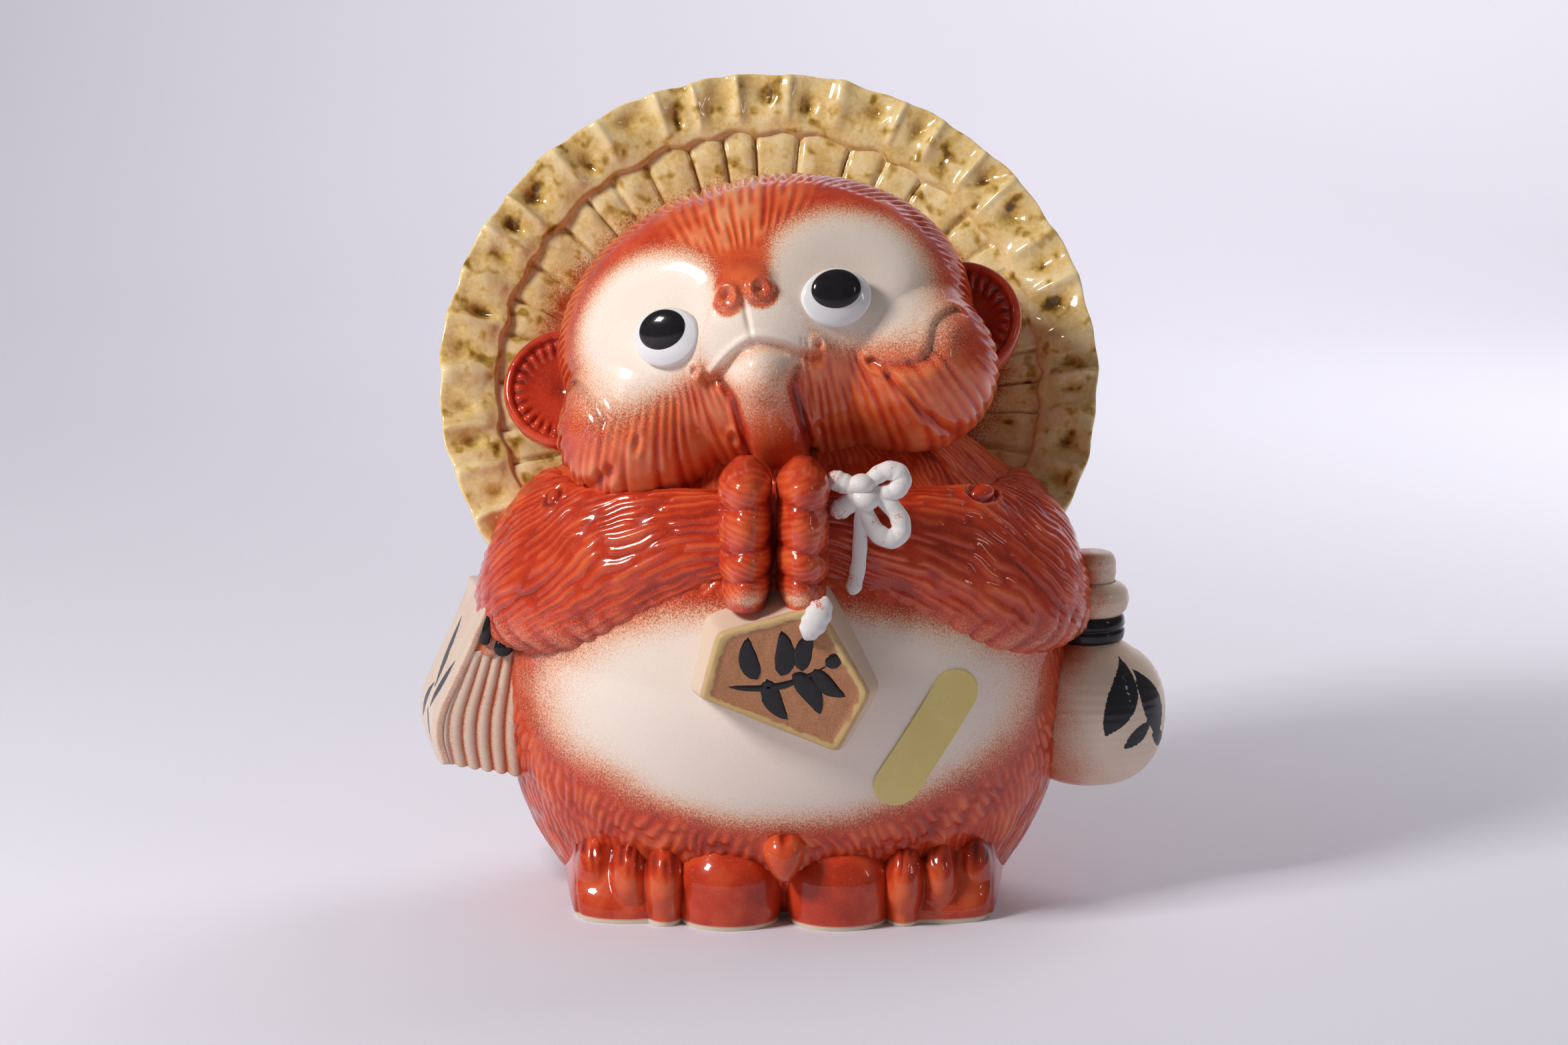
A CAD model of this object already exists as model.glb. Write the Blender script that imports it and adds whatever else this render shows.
"""Dresses a glazed stoneware raccoon-dog figure with a straw hat, flask, account book, plaque and cord bow.

Lengths are in millimetres until a mesh is made. +Z is up, the figure faces -Y and +X is its own left hand.
"""

import logging
import math
from dataclasses import dataclass, field
from enum import Enum

import bpy
import numpy as np
import numpy.typing as npt
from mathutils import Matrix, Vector


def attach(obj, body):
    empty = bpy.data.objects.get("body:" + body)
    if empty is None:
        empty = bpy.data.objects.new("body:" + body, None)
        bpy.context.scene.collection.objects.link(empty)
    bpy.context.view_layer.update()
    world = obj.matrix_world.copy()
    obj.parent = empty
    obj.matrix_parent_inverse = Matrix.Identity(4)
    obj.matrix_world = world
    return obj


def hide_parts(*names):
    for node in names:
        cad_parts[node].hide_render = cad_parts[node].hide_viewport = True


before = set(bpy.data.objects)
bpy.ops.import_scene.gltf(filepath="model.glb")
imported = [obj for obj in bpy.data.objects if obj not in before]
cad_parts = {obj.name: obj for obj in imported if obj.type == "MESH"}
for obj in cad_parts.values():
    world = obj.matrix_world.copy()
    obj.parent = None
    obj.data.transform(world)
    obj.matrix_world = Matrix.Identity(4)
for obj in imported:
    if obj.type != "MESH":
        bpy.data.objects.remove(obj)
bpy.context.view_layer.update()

Floats = npt.NDArray[np.float64]
Colour = tuple[float, float, float]
Triple = tuple[float, float, float]
Socket = bpy.types.NodeSocket

MM = 0.001
TURN = 2.0 * math.pi
LATTICE_KEY = (157.0, 8311.0, 52711.0)
MIX_INDEX, MIX_SEED, MIX_AGAIN = 73856093, 19349663, 1274126177
MIX_MASK, LOW_BITS = 0x7FFFFFFF, 0xFFFF
FIGURE_MIDDLE = (0.0, 0.0, 0.118)
log = logging.getLogger("figure")


class Side(Enum):
    """The figure's own two sides, by the sign of their X."""

    LEFT = 1
    RIGHT = -1

    @property
    def label(self) -> str:
        """The side's word in the names of pieces."""
        return self.name.lower()


class Tint(Enum):
    """Names of the point attributes that the finishes read."""

    RELIEF = "relief"
    CREAM = "cream"
    BLUSH = "blush"
    INK = "ink"


def smoothstep(low: float, high: float, value: Floats) -> Floats:
    """Rises from 0 at low to 1 at high along the cubic 3t^2 - 2t^3."""
    share = np.clip((value - low) / (high - low), 0.0, 1.0)
    return share * share * (3.0 - 2.0 * share)


def smooth_max(first: Floats, second: Floats, width: float) -> Floats:
    """The larger of two heights, with the crease between them rounded over a width."""
    share = np.clip(0.5 + 0.5 * (first - second) / width, 0.0, 1.0)
    return second + (first - second) * share + width * share * (1.0 - share)


def dome(across: Floats, up: Floats, half_width: float, half_height: float) -> Floats:
    """A soft swelling (1 - r^2)^2 inside an oval, with r the share of the way to its edge."""
    reach = np.clip((across / half_width) ** 2 + (up / half_height) ** 2, 0.0, 1.0)
    return (1.0 - reach) ** 2


def pit(across: Floats, up: Floats, radius: float) -> Floats:
    """A bell curve exp(-r^2) round a point."""
    return np.exp(-(across**2 + up**2) / radius**2)


def bell(value: Floats, width: float) -> Floats:
    """A bell curve exp(-(v / w)^2) across a line."""
    return np.exp(-((value / width) ** 2))


def full_turn(count: int) -> Floats:
    """A row of angles that part a whole turn evenly."""
    return np.linspace(0.0, TURN, count, endpoint=False)[None, :]


def even_shares(count: int) -> Floats:
    """A column that rises evenly from 0 to 1."""
    return np.linspace(0.0, 1.0, count)[:, None]


def joined(*parts: Floats) -> Floats:
    """Coordinates brought to one shape and put together along a new last axis."""
    return np.stack(np.broadcast_arrays(*parts), axis=-1)


def run_along(points: Floats) -> Floats:
    """Distance run along a broken line, from 0 at its first point."""
    return np.concatenate([[0.0], np.cumsum(np.linalg.norm(np.diff(points, axis=0), axis=1))])


def with_ends(values: Floats) -> Floats:
    """A grid with its first and last rows repeated, for the poles that close it."""
    return np.concatenate([values[:1], values, values[-1:]])


def closed_ends(points: Floats, first: Floats, last: Floats) -> Floats:
    """A grid of points with a pole before its first row and another after its last."""
    poles = [np.broadcast_to(pole, points[:1].shape) for pole in (first, last)]
    return np.concatenate([poles[0], points, poles[1]])


@dataclass(frozen=True)
class Oval:
    """A soft oval swelling: its place across and up, its half sizes and how far it stands out."""

    across: float
    up: float
    half_width: float
    half_height: float
    stand: float = 1.0

    def swell(self, across: Floats, up: Floats) -> Floats:
        """The share of the swelling at each place."""
        return dome(across - self.across, up - self.up, self.half_width, self.half_height)


def dice(index: Floats, seed: int) -> Floats:
    """Repeatable shares in 0..1 for whole numbers, by mixing their bits with a seed.

    Args:
        index: Whole numbers.
        seed: Picks one of many draws.

    Returns:
        One share for each number.
    """
    mixed = (index.astype(np.int64) * MIX_INDEX + seed * MIX_SEED) & MIX_MASK
    mixed = ((mixed ^ (mixed >> 13)) * MIX_AGAIN) & MIX_MASK
    mixed = mixed ^ (mixed >> 16)
    return (mixed & LOW_BITS) / LOW_BITS


def grain(points: Floats, size: float, seed: int) -> Floats:
    """Smooth noise in -1..1: random values on a cubic lattice of a given cell size, blended by smoothsteps.

    Args:
        points: Places in millimetres, with x, y and z on the last axis.
        size: Cell size in millimetres.
        seed: Picks one of many noises.

    Returns:
        One value for each place.
    """
    scaled = points / size
    cell = np.floor(scaled)
    part = scaled - cell
    fade = part * part * (3.0 - 2.0 * part)
    total = np.zeros(points.shape[:-1])
    for corner in np.ndindex(2, 2, 2):
        key = (cell + corner) @ np.array(LATTICE_KEY)
        weight = np.prod(np.where(corner, fade, 1.0 - fade), axis=-1)
        total += weight * (2.0 * dice(key, seed) - 1.0)
    return total


def cut_strokes(across: Floats, along: Floats, pitch: float, length: float, seed: int) -> Floats:
    """Depth 0..1 of strokes cut by hand with a comb.

    Lanes of one pitch lie side by side, each shifted a little by chance. Down its lane the cut comes in
    strokes of about one length, staggered from lane to lane, which taper at both ends. Across the lane the
    cut is a bell curve.

    Args:
        across: Distance over the lanes.
        along: Distance down the lanes.
        pitch: Lane width.
        length: Stroke length.
        seed: Picks one of many combings.

    Returns:
        The depth at each place.
    """
    lane = np.floor(across / pitch)
    middle = (lane + 0.5 + 0.3 * (dice(lane, seed) - 0.5)) * pitch
    step = along / length + dice(lane, seed + 1)
    share = step - np.floor(step)
    taper = smoothstep(0.0, 0.16, share) * (1.0 - smoothstep(0.74, 1.0, share))
    weight = 0.6 + 0.4 * dice(lane * 31 + np.floor(step), seed + 2)
    return bell(across - middle, 0.3 * pitch) * taper * weight


def spline(knots: Floats, values: Floats, at: Floats) -> Floats:
    """Natural cubic spline through values at knots, read at any places.

    The second derivatives at the knots solve the usual three-banded system, with none at the two ends.

    Args:
        knots: Rising places.
        values: What the curve passes through there, with one or more columns.
        at: Where to read the curve.

    Returns:
        The curve at those places.
    """
    gap = np.diff(knots)
    size = len(knots)
    system = np.eye(size)
    inner = np.arange(1, size - 1)
    system[inner, inner - 1] = gap[:-1]
    system[inner, inner] = 2.0 * (gap[:-1] + gap[1:])
    system[inner, inner + 1] = gap[1:]
    columns = values.reshape(size, -1)
    slope = np.diff(columns, axis=0) / gap[:, None]
    right = np.zeros_like(columns)
    right[1:-1] = 6.0 * np.diff(slope, axis=0)
    bend = np.linalg.solve(system, right)
    index = np.clip(np.searchsorted(knots, at) - 1, 0, size - 2)
    left = (knots[index + 1] - at)[..., None]
    past = (at - knots[index])[..., None]
    width = gap[index][..., None]
    low, high = columns[index], columns[index + 1]
    curve = (bend[index] * left**3 + bend[index + 1] * past**3) / (6.0 * width)
    below = (low / width - bend[index] * width / 6.0) * left
    above = (high / width - bend[index + 1] * width / 6.0) * past
    curve += below + above
    return curve.reshape(at.shape + values.shape[1:])


def unit(vectors: Floats) -> Floats:
    """Vectors on the last axis brought to length 1."""
    return vectors / np.maximum(np.linalg.norm(vectors, axis=-1, keepdims=True), 1e-12)


def grid_normals(points: Floats) -> Floats:
    """Unit normals of an open grid surface, from its differences down the rows and over the columns."""
    return unit(np.cross(np.gradient(points, axis=1), np.gradient(points, axis=0)))


def brushed(dabs: tuple[tuple[float, ...], ...], across: Floats, up: Floats, curl: float = 0.0) -> Floats:
    """Ink 0..1 of pointed leaf dabs, each as wide as 1 - t^2 along its length t.

    Args:
        dabs: Place across and up, lean, half length and half width of each.
        across: Distance over the painted face.
        up: Height on it.
        curl: How far a dab bends aside at its ends, as a share of its length.

    Returns:
        The ink at each place.
    """
    ink = np.zeros(np.broadcast(across, up).shape)
    for x, z, lean, long, wide in dabs:
        ahead, rise = across - x, up - z
        along = ahead * math.sin(lean) + rise * math.cos(lean)
        aside = ahead * math.cos(lean) - rise * math.sin(lean) + curl * along**2 / long
        swell = np.clip(1.0 - (along / long) ** 2, 0.0, 1.0)
        ink = np.maximum(ink, smoothstep(1.25, 0.75, np.abs(aside) / (wide * swell + 0.01)) * (swell > 0.02))
    return ink


def segment_distance(across: Floats, up: Floats, route: list[tuple[float, float]]) -> Floats:
    """Distance from each place to a broken line: the least of the distances to its segments.

    Args:
        across: Distance over the face.
        up: Distance up the face.
        route: The line's corners.

    Returns:
        The least distance at each place.
    """
    nearest = np.full(across.shape, np.inf)
    for (x0, y0), (x1, y1) in zip(route, route[1:]):
        run_x, run_y = x1 - x0, y1 - y0
        share = np.clip(((across - x0) * run_x + (up - y0) * run_y) / (run_x**2 + run_y**2), 0.0, 1.0)
        nearest = np.minimum(nearest, np.hypot(across - x0 - share * run_x, up - y0 - share * run_y))
    return nearest


def eased_route(route: list[tuple[float, float]], steps: int = 24) -> list[tuple[float, float]]:
    """The same route drawn as a natural spline through its points.

    Args:
        route: Points to pass through.
        steps: Number of points to draw.

    Returns:
        The drawn points.
    """
    points = np.array(route)
    run = run_along(points)
    return [tuple(point) for point in spline(run, points, np.linspace(0.0, run[-1], steps))]


@dataclass
class Patch:
    """A grid of points that becomes one closed or buried surface of a piece.

    A first or last row whose points coincide becomes a pole. The faces are turned away from the inside point,
    or from the middle of the grid where none is given.
    """

    points: Floats
    wrap: bool = True
    wrap_rows: bool = False
    tints: dict[Tint, Floats] = field(default_factory=dict)
    inside: Triple | None = None

    def quads(self) -> npt.NDArray[np.int64]:
        """Corner numbers of the grid's cells, with outward winding; a pole's cells repeat a corner.

        Returns:
            Rows of four corner numbers.
        """
        rows, columns = self.points.shape[:2]
        index = np.arange(rows * columns).reshape(rows, columns)
        for row in (0, -1):
            if np.ptp(self.points[row], axis=0).max() < 1e-9:
                index[row] = index[row, 0]
        if self.wrap:
            index = np.concatenate([index, index[:, :1]], axis=1)
        if self.wrap_rows:
            index = np.concatenate([index, index[:1]], axis=0)
        cells = joined(index[:-1, :-1], index[1:, :-1], index[1:, 1:], index[:-1, 1:]).reshape(-1, 4)
        flat = self.points.reshape(-1, 3)
        corners = flat[cells]
        facing = np.cross(corners[:, 2] - corners[:, 0], corners[:, 3] - corners[:, 1])
        inside = flat.mean(axis=0) if self.inside is None else np.array(self.inside)
        if np.sum(facing * (corners.mean(axis=1) - inside)) < 0.0:
            cells = cells[:, ::-1]
        return cells


@dataclass(frozen=True)
class Finish:
    """A material, and the record's slot for the pieces that wear it."""

    slot: str
    material: bpy.types.Material


def make_piece(name: str, patches: list[Patch], finish: Finish, *nodes: str) -> None:
    """Makes one mesh object from grids and gives it its finish, its body and the CAD nodes it stands for.

    Args:
        name: The piece's name.
        patches: Its surfaces.
        finish: Its material and slot.
        nodes: The CAD nodes that it replaces.
    """
    cells: list[npt.NDArray[np.int64]] = []
    count = 0
    for patch in patches:
        cells.append(patch.quads() + count)
        count += patch.points.shape[0] * patch.points.shape[1]
    corners = np.concatenate(cells)
    keep = corners != np.roll(corners, -1, axis=1)
    used, loops = np.unique(corners[keep], return_inverse=True)
    totals = keep.sum(axis=1)
    solid = totals > 2
    totals = totals[solid]
    loops = loops[np.repeat(solid, keep.sum(axis=1))]
    places = np.concatenate([patch.points.reshape(-1, 3) for patch in patches])[used] * MM
    mesh = bpy.data.meshes.new(name)
    mesh.vertices.add(len(places))
    mesh.vertices.foreach_set("co", places.ravel())
    mesh.loops.add(len(loops))
    mesh.loops.foreach_set("vertex_index", loops.ravel().astype(np.int32))
    mesh.polygons.add(len(totals))
    starts = np.concatenate([[0], np.cumsum(totals)[:-1]])
    mesh.polygons.foreach_set("loop_start", starts.astype(np.int32))
    mesh.polygons.foreach_set("use_smooth", np.ones(len(totals), dtype=bool))
    mesh.update(calc_edges=True)
    for tint in Tint:
        shares = [np.broadcast_to(patch.tints.get(tint, 0.0), patch.points.shape[:2]) for patch in patches]
        values = np.concatenate([share.ravel() for share in shares])[used]
        layer = mesh.attributes.new(tint.value, "FLOAT", "POINT")
        layer.data.foreach_set("value", values.astype(np.float32))
    mesh.validate()
    mesh.materials.append(finish.material)
    piece = bpy.data.objects.new(name, mesh)
    bpy.context.scene.collection.objects.link(piece)
    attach(piece, "root")
    if nodes:
        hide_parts(*nodes)
    log.info("%s: %d faces", name, len(totals))


def tube(path: Floats, radii: Floats, sides: int, flat: float, face: Triple = (0.0, -1.0, 0.0)) -> Floats:
    """An oval carried along a path, with rounded or pointed ends where the radius falls to nothing.

    Each section is square to the path. Its width is across both the path and the facing direction, and its
    thickness, flat times the width, is towards the facing direction.

    Args:
        path: The middle line, as rows of points.
        radii: Half widths along it.
        sides: Points round a section.
        flat: Thickness as a share of width.
        face: Direction that the broad side looks in.

    Returns:
        A grid of points, with a row for each point of the path.
    """
    ahead = unit(np.gradient(path, axis=0))
    wide = unit(np.cross(ahead, np.array(face)))
    thick = np.cross(wide, ahead)
    angle = full_turn(sides)[..., None]
    swing = wide[:, None] * np.cos(angle) + flat * thick[:, None] * np.sin(angle)
    return path[:, None] + swing * radii[:, None, None]


def blunted(wave: Floats, power: float) -> Floats:
    """A wave with its size raised to a power and its sign kept; a low power squares it off."""
    return np.sign(wave) * np.abs(wave) ** power


def crowded_shares(count: int) -> Floats:
    """Shares that rise from 0 to 1 as half a cosine wave, crowded towards both ends."""
    return 0.5 - 0.5 * np.cos(np.linspace(0.0, math.pi, count))


def capped(count: int, ease: float) -> Floats:
    """A radius share along a path: 1 in the middle, rounding to 0 over an eased stretch at each end.

    Args:
        count: Number of places along the path.
        ease: Share of the length over which an end rounds off.

    Returns:
        The radius share at each place.
    """
    share = crowded_shares(count)
    near = np.clip(np.minimum(share, 1.0 - share) / ease, 0.0, 1.0)
    return np.sqrt(np.clip(1.0 - (1.0 - near) ** 2, 0.0, 1.0))


def capped_path(points: Floats, count: int) -> Floats:
    """A spline through a few points, read at places that crowd towards both ends."""
    run = run_along(points)
    return spline(run, points, crowded_shares(count) * run[-1])


class Bench:
    """A new material's node tree, with one call for each kind of node that the finishes use."""

    coat_roughness: float = 0.04
    specular: float = 0.12

    def __init__(self, name: str, roughness: float, coat: float = 0.0) -> None:
        """Starts a material with a principled shader.

        Args:
            name: The material's name.
            roughness: Roughness of the surface under any clear coat.
            coat: Weight of the clear glassy coat.
        """
        self.material = bpy.data.materials.new(name)
        self.material.use_nodes = True
        self.tree = self.material.node_tree
        self.tree.nodes.clear()
        self.shader = self.tree.nodes.new("ShaderNodeBsdfPrincipled")
        output = self.tree.nodes.new("ShaderNodeOutputMaterial")
        self.tree.links.new(self.shader.outputs["BSDF"], output.inputs["Surface"])
        self.place = self.tree.nodes.new("ShaderNodeTexCoord").outputs["Object"]
        constants = {"Roughness": roughness, "Coat Weight": coat}
        constants |= {"Coat Roughness": self.coat_roughness, "Specular IOR Level": self.specular}
        for socket, number in constants.items():
            self.shader.inputs[socket].default_value = number

    def wire(self, source: Socket, socket: str) -> None:
        """Feeds a socket of the shader."""
        self.tree.links.new(source, self.shader.inputs[socket])

    def share(self, tint: Tint) -> Socket:
        """Reads a point attribute of the piece.

        Args:
            tint: Which attribute.

        Returns:
            Its value.
        """
        node = self.tree.nodes.new("ShaderNodeAttribute")
        node.attribute_name = tint.value
        return node.outputs["Fac"]

    def noise(self, size: float, detail: float = 2.0, rough: float = 0.5) -> Socket:
        """Cloudy noise in 0..1 with features of about a size in millimetres.

        Args:
            size: Feature size in millimetres.
            detail: Octaves of finer noise.
            rough: Weight of the finer octaves.

        Returns:
            The noise.
        """
        node = self.tree.nodes.new("ShaderNodeTexNoise")
        self.tree.links.new(self.place, node.inputs["Vector"])
        node.inputs["Scale"].default_value = 1.0 / (size * MM)
        node.inputs["Detail"].default_value = detail
        node.inputs["Roughness"].default_value = rough
        return node.outputs["Fac"]

    def sums(self, operation: str, first: Socket, second: "Socket | float") -> Socket:
        """One step of arithmetic on a varying value.

        Args:
            operation: Name of the step.
            first: The varying value.
            second: Another one, or a plain number.

        Returns:
            The result.
        """
        node = self.tree.nodes.new("ShaderNodeMath")
        node.operation = operation
        self.tree.links.new(first, node.inputs[0])
        if isinstance(second, float):
            node.inputs[1].default_value = second
        else:
            self.tree.links.new(second, node.inputs[1])
        return node.outputs[0]

    def spread(self, value: Socket, low: float, high: float, to_low: float, to_high: float) -> Socket:
        """Carries one range of a value smoothly to another.

        Args:
            value: The value.
            low: Start of its range.
            high: End of its range.
            to_low: What the start becomes.
            to_high: What the end becomes.

        Returns:
            The carried value.
        """
        node = self.tree.nodes.new("ShaderNodeMapRange")
        node.interpolation_type = "SMOOTHSTEP"
        self.tree.links.new(value, node.inputs["Value"])
        limits = {"From Min": low, "From Max": high, "To Min": to_low, "To Max": to_high}
        for socket, number in limits.items():
            node.inputs[socket].default_value = number
        return node.outputs["Result"]

    def cloud(
        self, swing: float, size: float, detail: float = 2.0, rough: float = 0.5, reach: float = 0.2
    ) -> Socket:
        """Noise carried to -swing..swing from the middle of its range, as far as a reach to either side."""
        return self.spread(self.noise(size, detail, rough), 0.5 - reach, 0.5 + reach, -swing, swing)

    def laid(
        self, value: Socket, low: float, high: float, under: "Socket | Colour", over: "Socket | Colour"
    ) -> Socket:
        """Lays one colour over another as a value rises from low to high."""
        return self.blend(self.spread(value, low, high, 0.0, 1.0), under, over)

    def ramp(self, value: Socket, stops: list[tuple[float, Colour]]) -> Socket:
        """Colours along a value.

        Args:
            value: The value.
            stops: Two or more places along it, with their colours.

        Returns:
            The colour.
        """
        node = self.tree.nodes.new("ShaderNodeValToRGB")
        self.tree.links.new(value, node.inputs["Fac"])
        elements = node.color_ramp.elements
        for index, (place, colour) in enumerate(stops):
            element = elements[index] if index < 2 else elements.new(place)
            element.position = place
            element.color = (*colour, 1.0)
        return node.outputs["Color"]

    def blend(self, value: Socket, under: "Socket | Colour", over: "Socket | Colour") -> Socket:
        """Mixes two colours, or coloured sockets, by a value.

        Args:
            value: Share of the second colour.
            under: The first colour.
            over: The second colour.

        Returns:
            The mixed colour.
        """
        node = self.tree.nodes.new("ShaderNodeMix")
        node.data_type = "RGBA"
        self.tree.links.new(value, node.inputs["Factor"])
        for socket, colour in ((node.inputs[6], under), (node.inputs[7], over)):
            if isinstance(colour, tuple):
                socket.default_value = (*colour, 1.0)
            else:
                self.tree.links.new(colour, socket)
        return node.outputs[2]

    def bump(self, height: Socket, depth: float, strength: float) -> None:
        """Roughens the surface by a height, with a depth in millimetres.

        Args:
            height: The height.
            depth: Depth in millimetres of a height of 1.
            strength: How strongly it tilts the surface.
        """
        node = self.tree.nodes.new("ShaderNodeBump")
        node.inputs["Distance"].default_value = depth * MM
        node.inputs["Strength"].default_value = strength
        self.tree.links.new(height, node.inputs["Height"])
        self.wire(node.outputs["Normal"], "Normal")


@dataclass(frozen=True)
class RedGlaze:
    """Clear red glaze that pools dark in cuts, thins to orange on ridges and is sprayed away over cream."""

    pooled: Colour = (0.17, 0.006, 0.003)
    body: Colour = (0.56, 0.042, 0.011)
    thin: Colour = (0.78, 0.14, 0.040)
    bared: Colour = (0.81, 0.31, 0.14)
    dust: Colour = (0.82, 0.43, 0.25)
    cream: Colour = (0.90, 0.785, 0.69)
    clay: Colour = (0.74, 0.64, 0.50)
    speckle_size: float = 0.5
    cloud_size: float = 9.0
    gloss: float = 0.85
    matte: float = 0.1

    def make(self) -> bpy.types.Material:
        """Relief picks pooled, body or thin glaze; cream with speckles picks spray, dust or bare cream.

        Returns:
            The material.
        """
        bench = Bench("red_glaze", 0.3, 0.85)
        cloud = bench.cloud(0.1, self.cloud_size, 3.0)
        relief = bench.sums("ADD", bench.share(Tint.RELIEF), cloud)
        stops = [(0.0, self.pooled), (0.42, self.body), (0.74, self.thin), (1.0, self.bared)]
        glaze = bench.ramp(relief, stops)
        speckle = bench.cloud(0.22, self.speckle_size, 2.0, 0.7, 0.25)
        spray = bench.sums("ADD", bench.share(Tint.CREAM), speckle)
        dusted = bench.laid(spray, 0.06, 0.66, glaze, self.dust)
        bared = bench.laid(spray, 0.34, 0.98, dusted, self.cream)
        bench.wire(bench.blend(bench.share(Tint.INK), bared, self.clay), "Base Color")
        dry = bench.sums("MAXIMUM", bench.share(Tint.BLUSH), bench.share(Tint.INK))
        bench.wire(bench.spread(dry, 0.1, 1.0, self.gloss, self.matte), "Coat Weight")
        bench.bump(bench.noise(2.4, 3.0, 0.6), 0.14, 0.5)
        return bench.material


@dataclass(frozen=True)
class StrawGlaze:
    """Honey glaze over pale clay: cream where it runs thin, brown to olive in blotches where it pools."""

    pools: tuple[tuple[float, Colour], ...] = (
        (0.0, (0.15, 0.075, 0.010)),
        (0.28, (0.42, 0.25, 0.045)),
        (0.52, (0.66, 0.44, 0.13)),
        (0.76, (0.82, 0.60, 0.25)),
        (1.0, (0.90, 0.74, 0.41)),
    )
    rust: Colour = (0.50, 0.045, 0.012)

    def make(self) -> bpy.types.Material:
        """Blotchy noise moves the glaze from pale to honey; pooled relief darkens it; blush sprays it red.

        Returns:
            The material.
        """
        bench = Bench("straw_glaze", 0.3, 0.9)
        blotch = bench.cloud(-0.14, 6.0, 3.0, 0.6)
        mottle = bench.cloud(-0.06, 1.5, 3.0, 0.7)
        spots = bench.spread(bench.noise(5.5, 1.5, 0.45), 0.52, 0.74, 0.0, -0.62)
        pooled = bench.sums("ADD", bench.sums("ADD", bench.share(Tint.RELIEF), blotch), mottle)
        pooled = bench.sums("ADD", pooled, spots)
        glaze = bench.ramp(pooled, list(self.pools))
        speckle = bench.cloud(0.25, 0.7, 2.0, 0.7, 0.25)
        spray = bench.sums("ADD", bench.share(Tint.BLUSH), speckle)
        bench.wire(bench.blend(bench.spread(spray, 0.3, 0.85, 0.0, 0.85), glaze, self.rust), "Base Color")
        bench.bump(bench.noise(2.6, 3.0, 0.6), 0.2, 0.6)
        return bench.material


@dataclass(frozen=True)
class CreamGlaze:
    """Cream glaze with a sprayed red-brown blush and brushed black marks."""

    cream: Colour = (0.78, 0.63, 0.50)
    blush: Colour = (0.62, 0.17, 0.07)
    ink: Colour = (0.022, 0.022, 0.028)

    def make(self) -> bpy.types.Material:
        """Speckled blush is sprayed over cream, and the ink attribute lays black on both.

        Returns:
            The material.
        """
        bench = Bench("cream_glaze", 0.4, 0.4)
        cloud = bench.cloud(0.08, 7.0, 3.0)
        speckle = bench.cloud(0.2, 0.5, 2.0, 0.7, 0.25)
        spray = bench.sums("ADD", bench.sums("ADD", bench.share(Tint.BLUSH), cloud), speckle)
        toned = bench.laid(spray, 0.1, 1.0, self.cream, self.blush)
        edge = bench.sums("ADD", bench.share(Tint.INK), bench.cloud(0.12, 0.6, 2.0))
        bench.wire(bench.laid(edge, 0.4, 0.6, toned, self.ink), "Base Color")
        bench.bump(bench.noise(2.0, 3.0, 0.6), 0.14, 0.5)
        return bench.material


@dataclass(frozen=True)
class WhiteGlaze:
    """Opaque white glaze with a trace of pink at its edge."""

    white: Colour = (0.84, 0.83, 0.84)
    edge: Colour = (0.80, 0.66, 0.60)

    def make(self) -> bpy.types.Material:
        """The blush attribute and a cloud tint the white.

        Returns:
            The material.
        """
        bench = Bench("white_glaze", 0.2, 1.0)
        tone = bench.sums("ADD", bench.share(Tint.BLUSH), bench.cloud(0.1, 3.0))
        bench.wire(bench.laid(tone, 0.1, 0.9, self.white, self.edge), "Base Color")
        bench.bump(bench.noise(3.0), 0.06, 0.4)
        return bench.material


@dataclass(frozen=True)
class BlackGlaze:
    """Thick glossy black glaze."""

    black: Colour = (0.006, 0.006, 0.008)
    thin: Colour = (0.022, 0.019, 0.022)

    def make(self) -> bpy.types.Material:
        """A cloud moves the colour between thick and thin glaze.

        Returns:
            The material.
        """
        bench = Bench("black_glaze", 0.2, 0.5)
        bench.wire(bench.blend(bench.noise(2.5, 3.0), self.black, self.thin), "Base Color")
        bench.bump(bench.noise(2.2, 2.0), 0.06, 0.5)
        return bench.material


@dataclass(frozen=True)
class ChalkSlip:
    """White slip dusted with stray red spray."""

    chalk: Colour = (0.80, 0.775, 0.76)
    stray: Colour = (0.66, 0.13, 0.045)

    def make(self) -> bpy.types.Material:
        """Fine specks of red cluster where the blush attribute is high.

        Returns:
            The material.
        """
        bench = Bench("chalk_slip", 0.5, 0.1)
        drift = bench.spread(bench.noise(4.0, 2.0), 0.35, 0.75, -0.25, 0.3)
        drift = bench.sums("ADD", bench.share(Tint.BLUSH), drift)
        specks = bench.sums("ADD", drift, bench.cloud(0.35, 0.55, 3.0, 0.75))
        bench.wire(bench.laid(specks, 0.42, 0.9, self.chalk, self.stray), "Base Color")
        bench.bump(bench.noise(0.9, 3.0, 0.7), 0.12, 0.6)
        return bench.material


@dataclass(frozen=True)
class TanSlip:
    """Sandy tan slip, ochre along the board's edge and cream down its sides."""

    tan: Colour = (0.40, 0.165, 0.080)
    sand: Colour = (0.52, 0.26, 0.14)
    ochre: Colour = (0.62, 0.43, 0.20)
    cream: Colour = (0.76, 0.60, 0.46)

    def make(self) -> bpy.types.Material:
        """Grainy noise mixes tan and sand; the attributes lay the edge and side colours on them.

        Returns:
            The material.
        """
        bench = Bench("tan_slip", 0.5, 0.15)
        sandy = bench.laid(bench.noise(0.45, 4.0, 0.8), 0.35, 0.68, self.tan, self.sand)
        patchy = bench.sums("ADD", bench.share(Tint.BLUSH), bench.cloud(0.3, 4.0, 3.0))
        edged = bench.laid(patchy, 0.35, 0.9, sandy, self.ochre)
        bench.wire(bench.blend(bench.share(Tint.CREAM), edged, self.cream), "Base Color")
        bench.bump(bench.noise(0.5, 4.0, 0.8), 0.14, 0.7)
        return bench.material


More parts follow.
